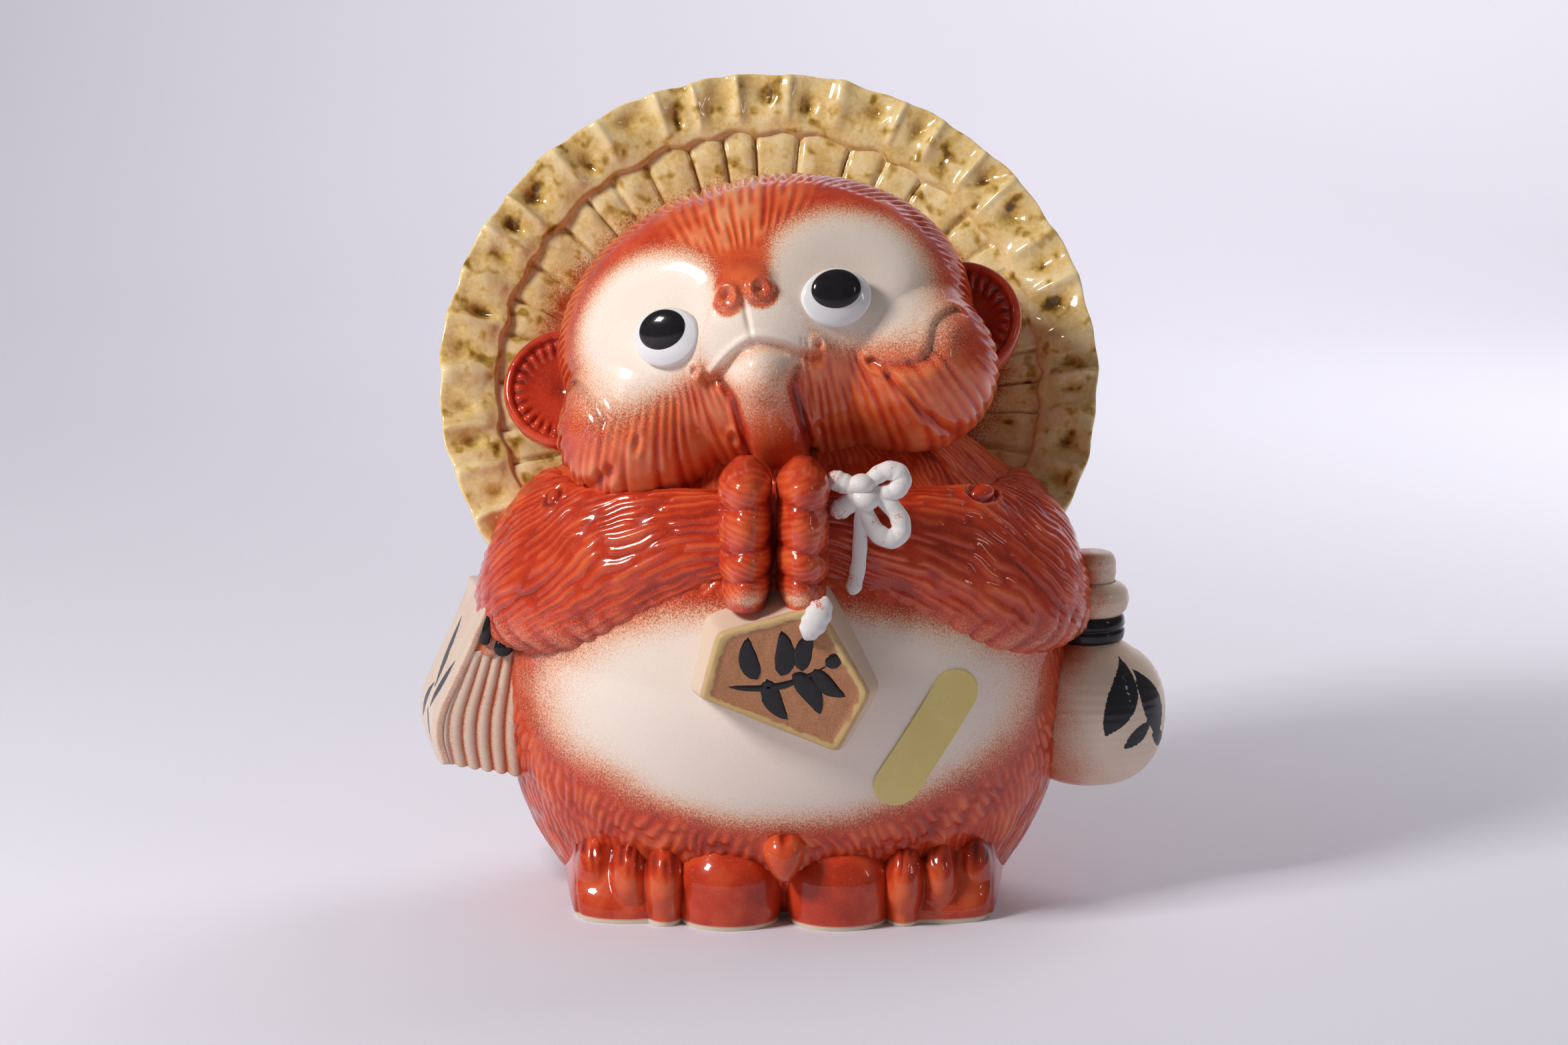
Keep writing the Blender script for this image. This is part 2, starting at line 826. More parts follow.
@dataclass(frozen=True)
class BareClay:
    """Unglazed pale stoneware with fine grit."""

    clay: Colour = (0.70, 0.58, 0.46)
    grit: Colour = (0.48, 0.36, 0.26)

    def make(self) -> bpy.types.Material:
        """Fine noise scatters darker grit through the clay.

        Returns:
            The material.
        """
        bench = Bench("bare_clay", 0.78)
        gritty = bench.spread(bench.noise(0.5, 4.0, 0.8), 0.5, 0.8, 0.0, 1.0)
        bench.wire(bench.blend(gritty, self.clay, self.grit), "Base Color")
        bench.bump(bench.noise(0.8, 4.0, 0.7), 0.12, 0.7)
        return bench.material


@dataclass(frozen=True)
class YellowPaper:
    """Satin yellow label paper."""

    paper: Colour = (0.80, 0.63, 0.22)
    worn: Colour = (0.84, 0.72, 0.36)

    def make(self) -> bpy.types.Material:
        """Fine fibres and a cloud lighten the paper.

        Returns:
            The material.
        """
        bench = Bench("yellow_paper", 0.38, 0.15)
        fibre = bench.sums("ADD", bench.noise(0.4, 3.0, 0.7), bench.cloud(0.06, 8.0, 2.0))
        bench.wire(bench.laid(fibre, 0.3, 0.9, self.paper, self.worn), "Base Color")
        bench.bump(bench.noise(0.4, 3.0, 0.7), 0.03, 0.5)
        return bench.material


@dataclass(frozen=True)
class StudioPaper:
    """Pale lilac-white paper of the floor and backdrop."""

    tone: Colour = (0.80, 0.80, 0.90)
    shade: Colour = (0.77, 0.77, 0.87)

    def make(self) -> bpy.types.Material:
        """A very broad cloud keeps the paper from looking flat.

        Returns:
            The material.
        """
        bench = Bench("studio_paper", 0.62)
        bench.wire(bench.blend(bench.noise(420.0, 1.0), self.tone, self.shade), "Base Color")
        return bench.material


class Finishes:
    """Every finish of the figure, made once."""

    def __init__(self) -> None:
        """Makes the materials."""
        self.red = Finish("red_glaze", RedGlaze().make())
        self.straw = Finish("straw_glaze", StrawGlaze().make())
        self.cream = Finish("cream_glaze", CreamGlaze().make())
        self.white = Finish("white_glaze", WhiteGlaze().make())
        self.black = Finish("black_glaze", BlackGlaze().make())
        self.chalk = Finish("chalk_slip", ChalkSlip().make())
        self.tan = Finish("tan_slip", TanSlip().make())
        self.clay = Finish("bare_clay", BareClay().make())
        self.paper = Finish("yellow_paper", YellowPaper().make())
        self.studio = StudioPaper().make()


@dataclass
class Torso:
    """The oval trunk: sections as height, half width, half depth and fore-and-aft centre."""

    sections: tuple[tuple[float, float, float, float], ...] = (
        (0.0, 66.0, 41.0, 0.0),
        (16.0, 77.0, 52.0, 0.0),
        (54.0, 89.5, 66.0, 0.0),
        (96.0, 89.0, 63.0, 0.0),
        (127.0, 80.0, 50.0, 2.0),
        (148.0, 54.0, 36.0, 4.0),
    )

    def spread(self, level: Floats) -> tuple[Floats, Floats, Floats]:
        """Half width, half depth and centre at any heights, by splines through the sections.

        Args:
            level: The heights.

        Returns:
            The three sizes at each height.
        """
        table = np.array(self.sections)
        sizes = spline(table[:, 0], table[:, 1:], np.asarray(level, dtype=float))
        return sizes[..., 0], sizes[..., 1], sizes[..., 2]

    def at(self, level: float) -> tuple[float, float, float]:
        """Half width, half depth and centre at one height, straight between the sections.

        Args:
            level: The height.

        Returns:
            The three sizes.
        """
        levels, *sizes = np.array(self.sections).T
        half_width, half_depth, centre = (float(np.interp(level, levels, size)) for size in sizes)
        return half_width, half_depth, centre

    def front(self, across: float, level: float) -> float:
        """Y of the front at a distance across and a height, straight between the sections."""
        half_width, half_depth, centre = self.at(level)
        return centre - half_depth * math.sqrt(max(0.0, 1.0 - (across / half_width) ** 2))

    def front_face(self, across: Floats, level: Floats) -> Floats:
        """Y of the front for whole arrays, on the splined surface."""
        half_width, half_depth, centre = self.spread(level)
        return centre - half_depth * np.sqrt(np.clip(1.0 - (across / half_width) ** 2, 0.0, 1.0))

    def skin(self, angle: Floats, level: Floats) -> Floats:
        """Points on the surface; the angle runs from the left flank over the front to the right and round."""
        half_width, half_depth, centre = self.spread(level)
        return joined(half_width * np.cos(angle), centre - half_depth * np.sin(angle), level)


TORSO = Torso()


@dataclass
class Body:
    """Trunk skin with a smooth sprayed belly, combed fur round it and a bare foot ring."""

    belly_level: float = 68.5
    belly_half_width: float = 84.0
    belly_half_height: float = 37.5
    belly_flare: float = 0.14
    top: float = 148.0
    girth: float = 86.0
    middle: float = 70.0
    ring_width: float = 8.0
    bare_height: float = 1.8
    rows: int = 250
    columns: int = 330
    fur_pitch: float = 3.0
    fur_length: float = 15.0
    fur_height: float = 0.5
    tuft_pitch: float = 4.2
    tuft_length: float = 12.0
    tuft_height: float = 1.0
    lock_height: float = 0.35
    tone: float = 0.36

    def fur(self, points: Floats, angle: Floats, level: Floats) -> tuple[Floats, Floats, Floats]:
        """Combed fur, sprayed cream and lock relief over the trunk.

        Outside the sprayed oval of the belly, which widens upwards, fine ridges fall down the trunk. Round
        the oval runs a band of short tufts that lean outwards as they fall. A noise bends the lanes.

        Args:
            points: Places on the bare trunk.
            angle: Their angles.
            level: Their heights.

        Returns:
            Height of the fur, the cream share and the relief share.
        """
        arc = (angle - math.pi / 2) * self.girth
        bend = 3.0 * grain(points, 17.0, 3) + 1.2 * grain(points, 6.0, 4)
        rise = (level - self.belly_level) / self.belly_half_height
        wide = self.belly_half_width * (1.0 + self.belly_flare * np.clip(rise, -1.0, 1.0))
        oval = np.hypot(points[..., 0] / wide, rise)
        oval = np.where(points[..., 1] < 0.0, oval, 9.0) + 0.012 * bend
        furry = smoothstep(0.96, 1.10, oval) * smoothstep(1.5, 6.0, level)
        band = furry * (1.0 - smoothstep(1.20, 1.45, oval))
        ridges = cut_strokes(arc + 1.6 * bend, level + bend, self.fur_pitch, self.fur_length, 21)
        lane = joined(arc + 1.6 * bend, 0.35 * level, 0.0)
        locks = grain(lane, 7.0, 9)
        aslant = np.abs(arc) + 0.7 * level + 1.4 * bend + 57.0 * (arc > 0.0)
        fall = 1.1 * level - 0.4 * np.abs(arc) + bend
        tufts = cut_strokes(aslant, fall, self.tuft_pitch, self.tuft_length, 25)
        combed = furry - band
        height = furry * self.lock_height * locks + combed * self.fur_height * ridges
        height = height + band * self.tuft_height * tufts
        relief = self.tone + furry * 0.16 * locks + 0.34 * (combed * ridges + band * tufts)
        cream = 1.0 - smoothstep(0.62, 1.12, oval)
        return height, cream, relief

    def half(self, start: float, end: float) -> Patch:
        """One half of the trunk between two angles, from the inner edge of the foot ring up to the neck.

        Args:
            start: Angle of one edge.
            end: Angle of the other.

        Returns:
            The half's surface.
        """
        angle = np.linspace(start, end, self.columns)[None, :]
        level = np.linspace(0.0, self.top, self.rows)[:, None]
        bare = TORSO.skin(angle, level)
        height, cream, relief = self.fur(bare, angle + 0.0 * level, level + 0.0 * angle)
        out = -grid_normals(bare)
        out = out * np.sign(np.sum(out * (bare - [0.0, 0.0, self.middle]), axis=-1).mean())
        points = bare + out * height[..., None]
        ring = TORSO.skin(angle, np.zeros((1, 1)))
        inner = ring * (1.0 - self.ring_width / TORSO.sections[0][1])
        top = points[-1:]
        neck = np.concatenate([top * [0.5, 0.5, 1.0], top * [0.0, 0.0, 1.0] + [0.0, 4.0, 0.0]])
        clay = 1.0 - smoothstep(self.bare_height * 0.6, self.bare_height, level + 0.35 * grain(bare, 9.0, 5))
        shares = {Tint.CREAM: cream, Tint.RELIEF: relief, Tint.INK: clay}
        tints = {tint: np.concatenate([with_ends(share), share[-1:]]) for tint, share in shares.items()}
        inside = (0.0, 0.0, self.middle)
        return Patch(np.concatenate([inner, points, neck]), wrap=False, tints=tints, inside=inside)

    def build(self, finishes: Finishes) -> None:
        """Makes the front and back skins and puts grit on the base slab.

        Args:
            finishes: The figure's finishes.
        """
        make_piece("body_front_skin", [self.half(0.0, math.pi)], finishes.red, "body_front_shell")
        make_piece("body_back_skin", [self.half(math.pi, TURN)], finishes.red, "body_back_shell")
        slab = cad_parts["base_slab"]
        slab.data.materials.clear()
        slab.data.materials.append(finishes.clay.material)


@dataclass
class Arms:
    """Arms laid round the trunk.

    Each station is its angle from side to front, its height, and its section's height, thickness and lean.
    """

    stations: tuple[tuple[float, float, float, float, float], ...] = (
        (-28.0, 116.0, 37.0, 9.0, 26.0),
        (4.0, 111.0, 54.0, 21.0, 25.0),
        (36.0, 109.0, 52.6, 25.0, 20.0),
        (60.0, 115.5, 42.0, 25.6, 9.0),
        (84.0, 121.0, 30.0, 23.0, 0.0),
    )
    sink: float = 5.0
    rows: int = 280
    columns: int = 220
    girth: float = 25.0
    fur_pitch: float = 4.0
    fur_length: float = 23.0
    fur_height: float = 0.7
    lock_pitch: float = 6.4
    lock_height: float = 0.6
    fringe_turn: float = -1.15
    fringe_height: float = 0.9
    tone: float = 0.33
    knob_radius: dict[Side, float] = field(default_factory=lambda: {Side.LEFT: 5.2, Side.RIGHT: 3.8})
    knob_height: dict[Side, float] = field(default_factory=lambda: {Side.LEFT: 2.8, Side.RIGHT: 1.3})
    knob_angle: dict[Side, float] = field(default_factory=lambda: {Side.LEFT: 46.0, Side.RIGHT: 31.0})
    knob_turn: dict[Side, float] = field(default_factory=lambda: {Side.LEFT: 66.0, Side.RIGHT: 52.0})

    def middle(self, side: Side, angle: Floats, level: Floats) -> Floats:
        """The arm's middle line, sunk a little into the trunk.

        Args:
            side: Which arm.
            angle: Angles from side to front in degrees.
            level: Heights.

        Returns:
            Points of the line.
        """
        half_width, half_depth, centre = TORSO.spread(level)
        turn = np.radians(angle)
        across = side.value * (half_width - self.sink) * np.cos(turn)
        return joined(across, centre - (half_depth - self.sink) * np.sin(turn), level)

    def leaning(self, side: Side, centres: Floats, lean: Floats) -> tuple[Floats, Floats]:
        """Directions out of and up the sections square to a middle line, leaning by angles.

        Args:
            side: Which arm.
            centres: Points of the middle line.
            lean: The angles.

        Returns:
            Unit directions out and up at each point.
        """
        ahead = unit(np.gradient(centres, axis=0))
        level_out = unit(joined(-ahead[:, 1], ahead[:, 0], 0.0)) * side.value
        upright = unit(np.cross(ahead, level_out)) * side.value
        upright = upright * np.sign(upright[:, 2:3])
        out = level_out * np.cos(lean) + upright * np.sin(lean)
        return out, upright * np.cos(lean) - level_out * np.sin(lean)

    def arm(self, side: Side) -> Patch:
        """One arm: leaning ovals square to the middle line, combed along bent lanes.

        The lanes are level lines of the turn round the section less a run-dependent climb, so the ridges rise
        towards the wrist. Locks hang as a fringe along the lower edge. A curled knob stands on the shoulder.

        Args:
            side: Which arm.

        Returns:
            The arm's surface.
        """
        table = np.array(self.stations)
        share = np.linspace(0.0, 1.0, self.rows)
        angle = table[0, 0] + share * (table[-1, 0] - table[0, 0])
        sizes = spline(table[:, 0], table[:, 1:], angle)
        centres = self.middle(side, angle, sizes[:, 0])
        run = run_along(centres)[:, None]
        out, lift = self.leaning(side, centres, np.radians(sizes[:, 3:4]))
        spin = np.linspace(-1.0, 1.0, self.columns, endpoint=False)[None, :]
        turn = math.pi * (0.72 * spin + 0.28 * spin**3)
        wide, tall = 0.5 * sizes[:, 2:3], 0.5 * sizes[:, 1:2]
        bare = centres[:, None] + out[:, None] * (wide * np.cos(turn))[..., None]
        bare = bare + lift[:, None] * (tall * np.sin(turn))[..., None]
        normal = out[:, None] * (np.cos(turn) / wide)[..., None]
        normal = normal + lift[:, None] * (np.sin(turn) / tall)[..., None]
        climb = np.cumsum(0.35 + 0.75 * (1.0 - smoothstep(0.35, 0.9, share)))[:, None] * run[-1] / self.rows
        bend = 3.2 * grain(bare, 15.0, 31 + side.value) + 1.0 * grain(bare, 5.5, 33)
        lanes = self.girth * turn - climb + bend
        down = run + 0.35 * climb + bend
        ridges = cut_strokes(lanes, down, self.fur_pitch, self.fur_length, 41 + side.value)
        locks = grain(joined(lanes, 0.4 * run, 0.0), 6.5, 45)
        low = bell(turn - self.fringe_turn, 0.40)
        hang = (run + 6.0 * (turn - self.fringe_turn) + 2.0 * grain(bare, 9.0, 47)) / self.lock_pitch
        fringe = low * np.abs(np.sin(math.pi * hang)) ** 0.8
        knob_run = np.interp(self.knob_angle[side], angle, run[:, 0])
        gap = np.hypot(run - knob_run, self.girth * (turn - math.radians(self.knob_turn[side])))
        size = self.knob_radius[side]
        knob = np.clip(1.0 - (gap / size) ** 2, 0.0, 1.0) ** 0.6
        ring = bell(gap - size - 0.8, 1.0) - 0.6 * bell(gap - size - 3.2, 1.3)
        calm = smoothstep(size * 0.9, size * 2.2, gap) * (1.0 - 0.6 * low)
        ends = smoothstep(0.0, 0.05, share)[:, None]
        height = calm * (self.lock_height * locks + self.fur_height * ridges) + self.fringe_height * fringe
        height = ends * (height + self.knob_height[side] * (knob - 0.35 * ring))
        points = bare + unit(normal) * height[..., None]
        relief = self.tone + calm * (0.12 * locks + 0.28 * ridges) + 0.10 * knob - 0.22 * ring
        relief = relief + 0.16 * (fringe - 0.5 * low)
        cream = (0.05 * low + 0.20 * fringe) * smoothstep(0.12, 0.4, share)[:, None]
        tints = {Tint.RELIEF: relief, Tint.CREAM: cream}
        tints = {tint: with_ends(value) for tint, value in tints.items()}
        return Patch(closed_ends(points, centres[0], centres[-1]), tints=tints)

    def build(self, finishes: Finishes) -> None:
        """Makes both arms."""
        for side in Side:
            make_piece(f"{side.label}_furred_arm", [self.arm(side)], finishes.red, f"{side.label}_arm")


@dataclass
class Paws:
    """Two paws pressed together: levels as shares of length, width and depth."""

    across: float = -3.0
    width: float = 16.0
    gap: float = 1.2
    base: float = 104.0
    length: float = 45.0
    stand: float = 28.0
    wrist_level: float = 121.0
    fingers: tuple[float, ...] = (0.0, 0.21, 0.41, 0.70, 1.0)
    finger_height: float = 2.1
    hair_pitch: float = 2.0
    hair_height: float = 0.22
    hair_length: float = 14.0
    hair_girth: float = 9.0
    tone: float = 0.40
    rows: int = 170
    columns: int = 150
    levels: tuple[tuple[float, float, float], ...] = (
        (0.0, 0.80, 0.86),
        (0.30, 1.0, 1.0),
        (0.72, 1.0, 0.94),
        (0.92, 0.80, 0.72),
        (1.0, 0.34, 0.30),
    )

    def paw(self, side: Side) -> Patch:
        """Ovals stacked up the paw, swollen into fingers across its front, with fine hairs along them.

        Args:
            side: Which paw.

        Returns:
            The paw's surface.
        """
        table = np.array(self.levels)
        share = (np.sin(np.linspace(-0.5, 0.5, self.rows) * math.pi) * 0.5 + 0.5)[:, None]
        sizes = spline(table[:, 0], table[:, 1:], share[:, 0])
        turn = full_turn(self.columns)
        middle = TORSO.front(0.0, self.wrist_level) + (Arms.sink - self.stand) / 2
        half_depth = (self.stand + Arms.sink) / 2
        outer = side.value * np.cos(turn)
        slope = share + 0.035 * outer
        part = np.interp(slope, self.fingers, np.arange(len(self.fingers)))
        swell = np.abs(np.sin(math.pi * part)) ** 0.55
        worked = smoothstep(-0.35, 0.5, np.sin(turn)) * smoothstep(0.0, 0.08, share)
        worked = worked * (1.0 - smoothstep(0.93, 1.0, share))
        height = worked * self.finger_height * (0.55 + 0.45 * smoothstep(-0.8, 0.5, outer)) * (swell - 0.8)
        x = self.across + side.value * (self.width + self.gap) / 2
        level = share * self.length
        bare = joined(x + self.hair_girth * np.cos(turn), -self.hair_girth * np.sin(turn), level)
        lanes = level - 3.0 * outer + 1.6 * grain(bare, 7.0, 53)
        hairs = cut_strokes(lanes, self.hair_girth * turn, self.hair_pitch, self.hair_length, 55)
        height = height + worked * self.hair_height * hairs
        across = (sizes[:, :1] * self.width / 2 + 0.9 * height) * np.cos(turn)
        depth = (sizes[:, 1:] * half_depth + height) * np.sin(turn)
        points = joined(x + across, middle - depth, self.base + level)
        foot, tip = ([x, middle, z] for z in (self.base, self.base + self.length + 0.6))
        relief = self.tone + worked * (0.25 * (swell - 0.75) + 0.22 * hairs) + 0.05 * grain(points, 3.0, 51)
        cream = 0.55 * pit((share - 0.06) * 9.0, outer + 0.2, 0.8) * worked
        tints = {Tint.RELIEF: with_ends(relief), Tint.CREAM: with_ends(cream)}
        return Patch(closed_ends(points, foot, tip), tints=tints)

    def build(self, finishes: Finishes) -> None:
        """Makes both paws."""
        for side in Side:
            make_piece(f"{side.label}_ridged_paw", [self.paw(side)], finishes.red, f"{side.label}_paw")


@dataclass
class HeadFrame:
    """The head's own axes: x to its left hand, y up its face and z out of its face."""

    origin: Triple = (-6.0, -4.0, 180.0)
    pitch: float = 28.0
    roll: float = 11.0
    yaw: float = 8.0
    half_width: float = 66.5
    half_height: float = 49.0
    depth: float = 50.0

    def axes(self) -> Floats:
        """Rows of the turn from the head's axes to the figure's: tipped up, rolled, then turned right.

        Returns:
            The three rows.
        """
        pitch, roll, yaw = (math.radians(angle) for angle in (self.pitch, self.roll, self.yaw))
        z = np.array([0.0, -math.cos(pitch), math.sin(pitch)])
        x = np.array([1.0, 0.0, 0.0])
        y = np.cross(z, x)
        x = math.cos(roll) * x + math.sin(roll) * y
        y = np.cross(z, x)
        x, z = math.cos(yaw) * x + math.sin(yaw) * z, math.cos(yaw) * z - math.sin(yaw) * x
        return np.stack([x, y, z])

    def out(self, local: Floats) -> Floats:
        """Carries places from the head's axes to the figure's."""
        return np.array(self.origin) + local @ self.axes()

    def seat(self, across: float, up: float, stand: float) -> tuple[Floats, Floats]:
        """A place on the face dome raised along its normal, and three axes there, all in the head's axes.

        Args:
            across: Distance across the face.
            up: Distance up the face.
            stand: How far to raise the place.

        Returns:
            The place, and rows for the axes.
        """
        x, y = across / self.half_width, up / self.half_height
        z = math.sqrt(1.0 - x * x - y * y)
        normal = unit(np.array([x / self.half_width, y / self.half_height, z / self.depth]))
        side = unit(np.array([1.0, 0.0, 0.0]) - normal * normal[0])
        place = np.array([across, up, z * self.depth]) + stand * normal
        return place, np.stack([side, np.cross(normal, side), normal])


HEAD = HeadFrame()


@dataclass
class Face:
    """Face and back of the head: a half-egg dome on an oval collar, with the features raised and cut into it.

    The chin swell is its place across and up, width, height and stand; a socket is its place, size and depth.
    A patch is its place and half sizes, the chin its middle, half width and flare, the mouth its height, half
    width and fall, a comb the pitch and length of its strokes.
    """

    collar: float = 75.0
    lap: float = 5.0
    rings: int = 152
    columns: int = 620
    collar_rings: int = 46
    pleats: int = 112
    pleat_depth: float = 1.6
    groove_depth: float = 0.8
    chin_cut: float = 2.4
    cheek_comb: tuple[float, float] = (2.9, 34.0)
    brow_comb: tuple[float, float] = (3.1, 30.0)
    tone: float = 0.42
    bury: float = 3.0
    comb_reach: float = 62.0
    brow_focus: float = 34.0
    muzzle: Oval = Oval(0.0, -17.0, 27.0, 23.0, 4.6)
    lip: Oval = Oval(0.5, -28.0, 12.0, 7.0, 2.0)
    nose: Oval = Oval(0.0, -2.6, 11.0, 8.2, 3.2)
    nose_wing: Oval = Oval(5.2, -5.6, 4.8, 4.6, 1.9)
    nose_glaze: Oval = Oval(5.0, -7.6, 6.4, 5.6)
    nostril: tuple[float, float, float] = (4.8, -6.0, 1.4)
    chin_swell: tuple[float, float, float, float, float] = (-1.0, -40.0, 25.0, 54.0, 8.0)
    cheek: Triple = (43.0, -27.0, 8.0)
    cheek_size: Triple = (54.0, 50.0, 56.0)
    socket: tuple[float, float, Triple, float] = (31.0, -3.0, (80.0, 68.0, 12.0), 3.0)
    eye: tuple[float, float] = (26.3, -11.5)
    patch: tuple[float, float, float, float] = (31.0, -4.0, 27.0, 24.0)
    chin: tuple[float, float, float] = (-1.5, 9.3, 3.0)
    mouth: tuple[float, float, float] = (-18.8, 16.4, 7.0)
    curls: tuple[tuple[tuple[float, float], ...], ...] = (
        ((31.5, -28.9), (38.0, -28.6), (43.5, -26.0), (48.5, -20.0), (56.0, -15.0)),
        ((34.0, -31.5), (39.0, -36.5), (49.5, -35.0)),
        ((-59.0, -10.2), (-52.0, -15.4), (-45.0, -24.0)),
        ((-58.5, -20.0), (-54.5, -28.0), (-44.0, -31.5)),
    )
    dimples: tuple[tuple[float, float], ...] = (
        (31.2, -29.2),
        (34.5, -30.6),
        (-37.7, -30.9),
        (18.0, -23.5),
        (-20.0, -23.0),
        (11.5, -43.0),
        (-14.0, -41.0),
    )

    def meets(
        self, ray: tuple[Floats, Floats], seat: tuple[Floats, Floats], size: Triple, far: bool
    ) -> Floats:
        """How far along its normal each place of the dome meets an egg, by the roots of a quadratic.

        Args:
            ray: Places on the dome in the head's axes, and the normals there.
            seat: The egg's middle, and rows for its own three directions.
            size: The egg's full width, height and thickness.
            far: Whether to take the egg's outer side.

        Returns:
            The distances, falling away softly where a normal misses the egg.
        """
        half = np.array(size) / 2
        start, ahead = (ray[0] - seat[0]) @ seat[1].T / half, ray[1] @ seat[1].T / half
        square = np.sum(ahead * ahead, axis=-1)
        cross = np.sum(start * ahead, axis=-1)
        inside = cross**2 - square * (np.sum(start * start, axis=-1) - 1.0)
        root = np.sqrt(np.maximum(inside, 0.0)) - 2.0 * np.sqrt(np.maximum(-inside, 0.0))
        return (root - cross if far else -root - cross) / square

    def forms(self, bare: Floats, out: Floats) -> Floats:
        """Height of the main forms over the dome: eye sockets cut in, then muzzle, cheeks and chin raised.

        Args:
            bare: Places on the dome in the head's axes.
            out: The normals there.

        Returns:
            The height at each place.
        """
        ray = (bare, out)
        across, up, size, depth = self.socket
        height = np.zeros(bare.shape[:-1])
        for side in Side:
            seat = HEAD.seat(side.value * across, up, size[2] / 2 - depth)
            cut = np.clip(-self.meets(ray, seat, size, False), -depth, 1.15 * depth)
            height = -smooth_max(-height, cut * smoothstep(0.2, 0.55, out @ seat[1][2]), 2.0)
        muzzle = self.muzzle.swell(bare[..., 0], bare[..., 1])
        height = height + self.muzzle.stand * muzzle * (bare[..., 2] > 0.0)
        x, y, wide, tall, stand = self.chin_swell
        chin = self.meets(ray, HEAD.seat(x, y, -stand / 2), (wide, tall, 3.0 * stand), True)
        height = smooth_max(height, chin, 4.0)
        for side in Side:
            seat = (np.array([side.value, 1.0, 1.0]) * self.cheek, np.eye(3))
            wide = self.meets(ray, seat, self.cheek_size, True)
            ease = 2.0 + 7.0 * smoothstep(14.0, 26.0, side.value * bare[..., 0])
            height = smooth_max(height, wide, ease)
        return height

    def snout(self, x: Floats, y: Floats) -> tuple[Floats, Floats]:
        """Mouth, lips and nose.

        The mouth is a bell-shaped cut along a line that bends down to both sides, with a lip swollen above it
        and another below. A groove joins it to the nose, whose wings are pierced by nostrils.

        Args:
            x: Distance across the face.
            y: Distance up the face.

        Returns:
            Their height, and the share of red glaze that is kept on them.
        """
        wide = np.abs(x)
        top, reach, fall = self.mouth
        line = y - (top - fall * (wide / reach) ** 1.6)
        mouthed = 1.0 - smoothstep(reach - 2.0, reach + 1.5, wide)
        bowl = mouthed * bell(line + 2.1, 1.9)
        lip, nose = self.lip.swell(x, y), self.nose.swell(x, y)
        height = mouthed * bell(line - 0.5, 1.3) - 1.7 * bowl + self.lip.stand * lip
        height = height - 2.2 * pit(wide - reach - 0.4, y - top + fall + 0.6, 1.6)
        height = height + 1.2 * pit(wide - reach - 3.4, y - top + fall - 0.4, 2.2)
        height = height - 1.0 * pit(2.2 * (x + 0.6), (y + 12.5) / 2.6, 1.9)
        height = height + self.nose.stand * nose**0.7 + self.nose_wing.stand * self.nose_wing.swell(wide, y)
        hole_x, hole_y, hole = self.nostril
        rim = np.hypot(wide - hole_x - 0.2, y - hole_y + 0.2)
        height = height - 2.2 * pit(wide - hole_x, y - hole_y, hole) + 0.9 * bell(rim - 3.0, 0.9)
        bridge = smoothstep(-4.0, 6.0, y) * smoothstep(11.0, 4.0, np.abs(x - 1.0))
        red = np.clip(0.85 * smoothstep(0.02, 0.4, nose) + bridge + 0.45 * bowl + 0.38 * lip, 0.0, 1.0)
        return height, np.maximum(red, 0.85 * smoothstep(0.0, 0.35, self.nose_glaze.swell(wide, y)))

    def tooled(self, x: Floats, y: Floats) -> tuple[Floats, Floats]:
        """Height of the curled lines and dimples, each with a raised burr beside it, and the lines' share.

        Args:
            x: Distance across the face.
            y: Distance up the face.

        Returns:
            The height and the lines' share at each place.
        """
        near = np.full(x.shape, np.inf)
        for curl in self.curls:
            near = np.minimum(near, segment_distance(x, y, eased_route(list(curl))))
        lines = bell(near, 0.75)
        height = 0.5 * bell(near - 1.8, 1.0) - 1.3 * lines
        for dx, dy in self.dimples:
            near = np.hypot(x - dx, y - dy)
            height = height + 0.6 * bell(near - 1.8, 0.8) - 0.8 * bell(near, 1.0)
        return height, lines

    def relief(self, x: Floats, y: Floats, edge: Floats, turn: Floats) -> tuple[Floats, Floats, Floats]:
        """Finer features over the main forms.

        Round the snout, grooves fan down the cheeks and up the middle of the brow, a groove parts the chin on
        either side, and radial pleats run round the rim. Curled lines and dimples are cut last.

        Args:
            x: Distance across the face.
            y: Distance up the face.
            edge: 0 at the face's middle, 1 at its rim, more on the collar.
            turn: Angle round the face.

        Returns:
            The height in millimetres, the cream share and the relief share.
        """
        wide = np.abs(x)
        spot = joined(x, y, 40.0 * edge)
        noise, fine = grain(spot, 12.0, 61), grain(spot, 4.0, 62)
        face = 1.0 - smoothstep(0.97, 1.03, edge)
        middle, narrow, flare = self.chin
        aside = np.abs(x - middle) - narrow - flare * smoothstep(-33.0, -26.0, y)
        px, py, pa, pb = self.patch
        patch = np.hypot((wide - px) / pa, (y - py) / pb)
        below = smoothstep(-24.0, -29.0, y)
        flank = bell(aside, 1.4) * below
        low = smoothstep(-20.0, -27.0, y + 0.1 * (wide - 30.0)) * smoothstep(0.5, 3.0, aside)
        low = low * smoothstep(0.86, 1.04, patch)
        high = smoothstep(7.0, 14.0, y) * smoothstep(29.0, 15.0, np.abs(x - 2.0))
        high = high * smoothstep(0.92, 1.12, patch)
        start = edge + 0.03 * fine + 0.26 * np.clip(np.sin(turn), 0.0, 1.0)
        rimmed = smoothstep(0.73, 0.85, start) * (1.0 - smoothstep(1.02, 1.07, edge)) * (1.0 - low)
        ex, ey = self.eye
        fan = np.arctan2(wide - ex + 1.0, 34.0 - y + ey - 6.0)
        run = np.hypot(wide - ex, y - 20.0)
        fans = fan * self.comb_reach + 0.9 * noise
        fans = cut_strokes(fans, run + 4.0 * np.sign(x), *self.cheek_comb, 65)
        crowns = np.arctan2(x, y + self.brow_focus) * self.comb_reach + 0.7 * noise
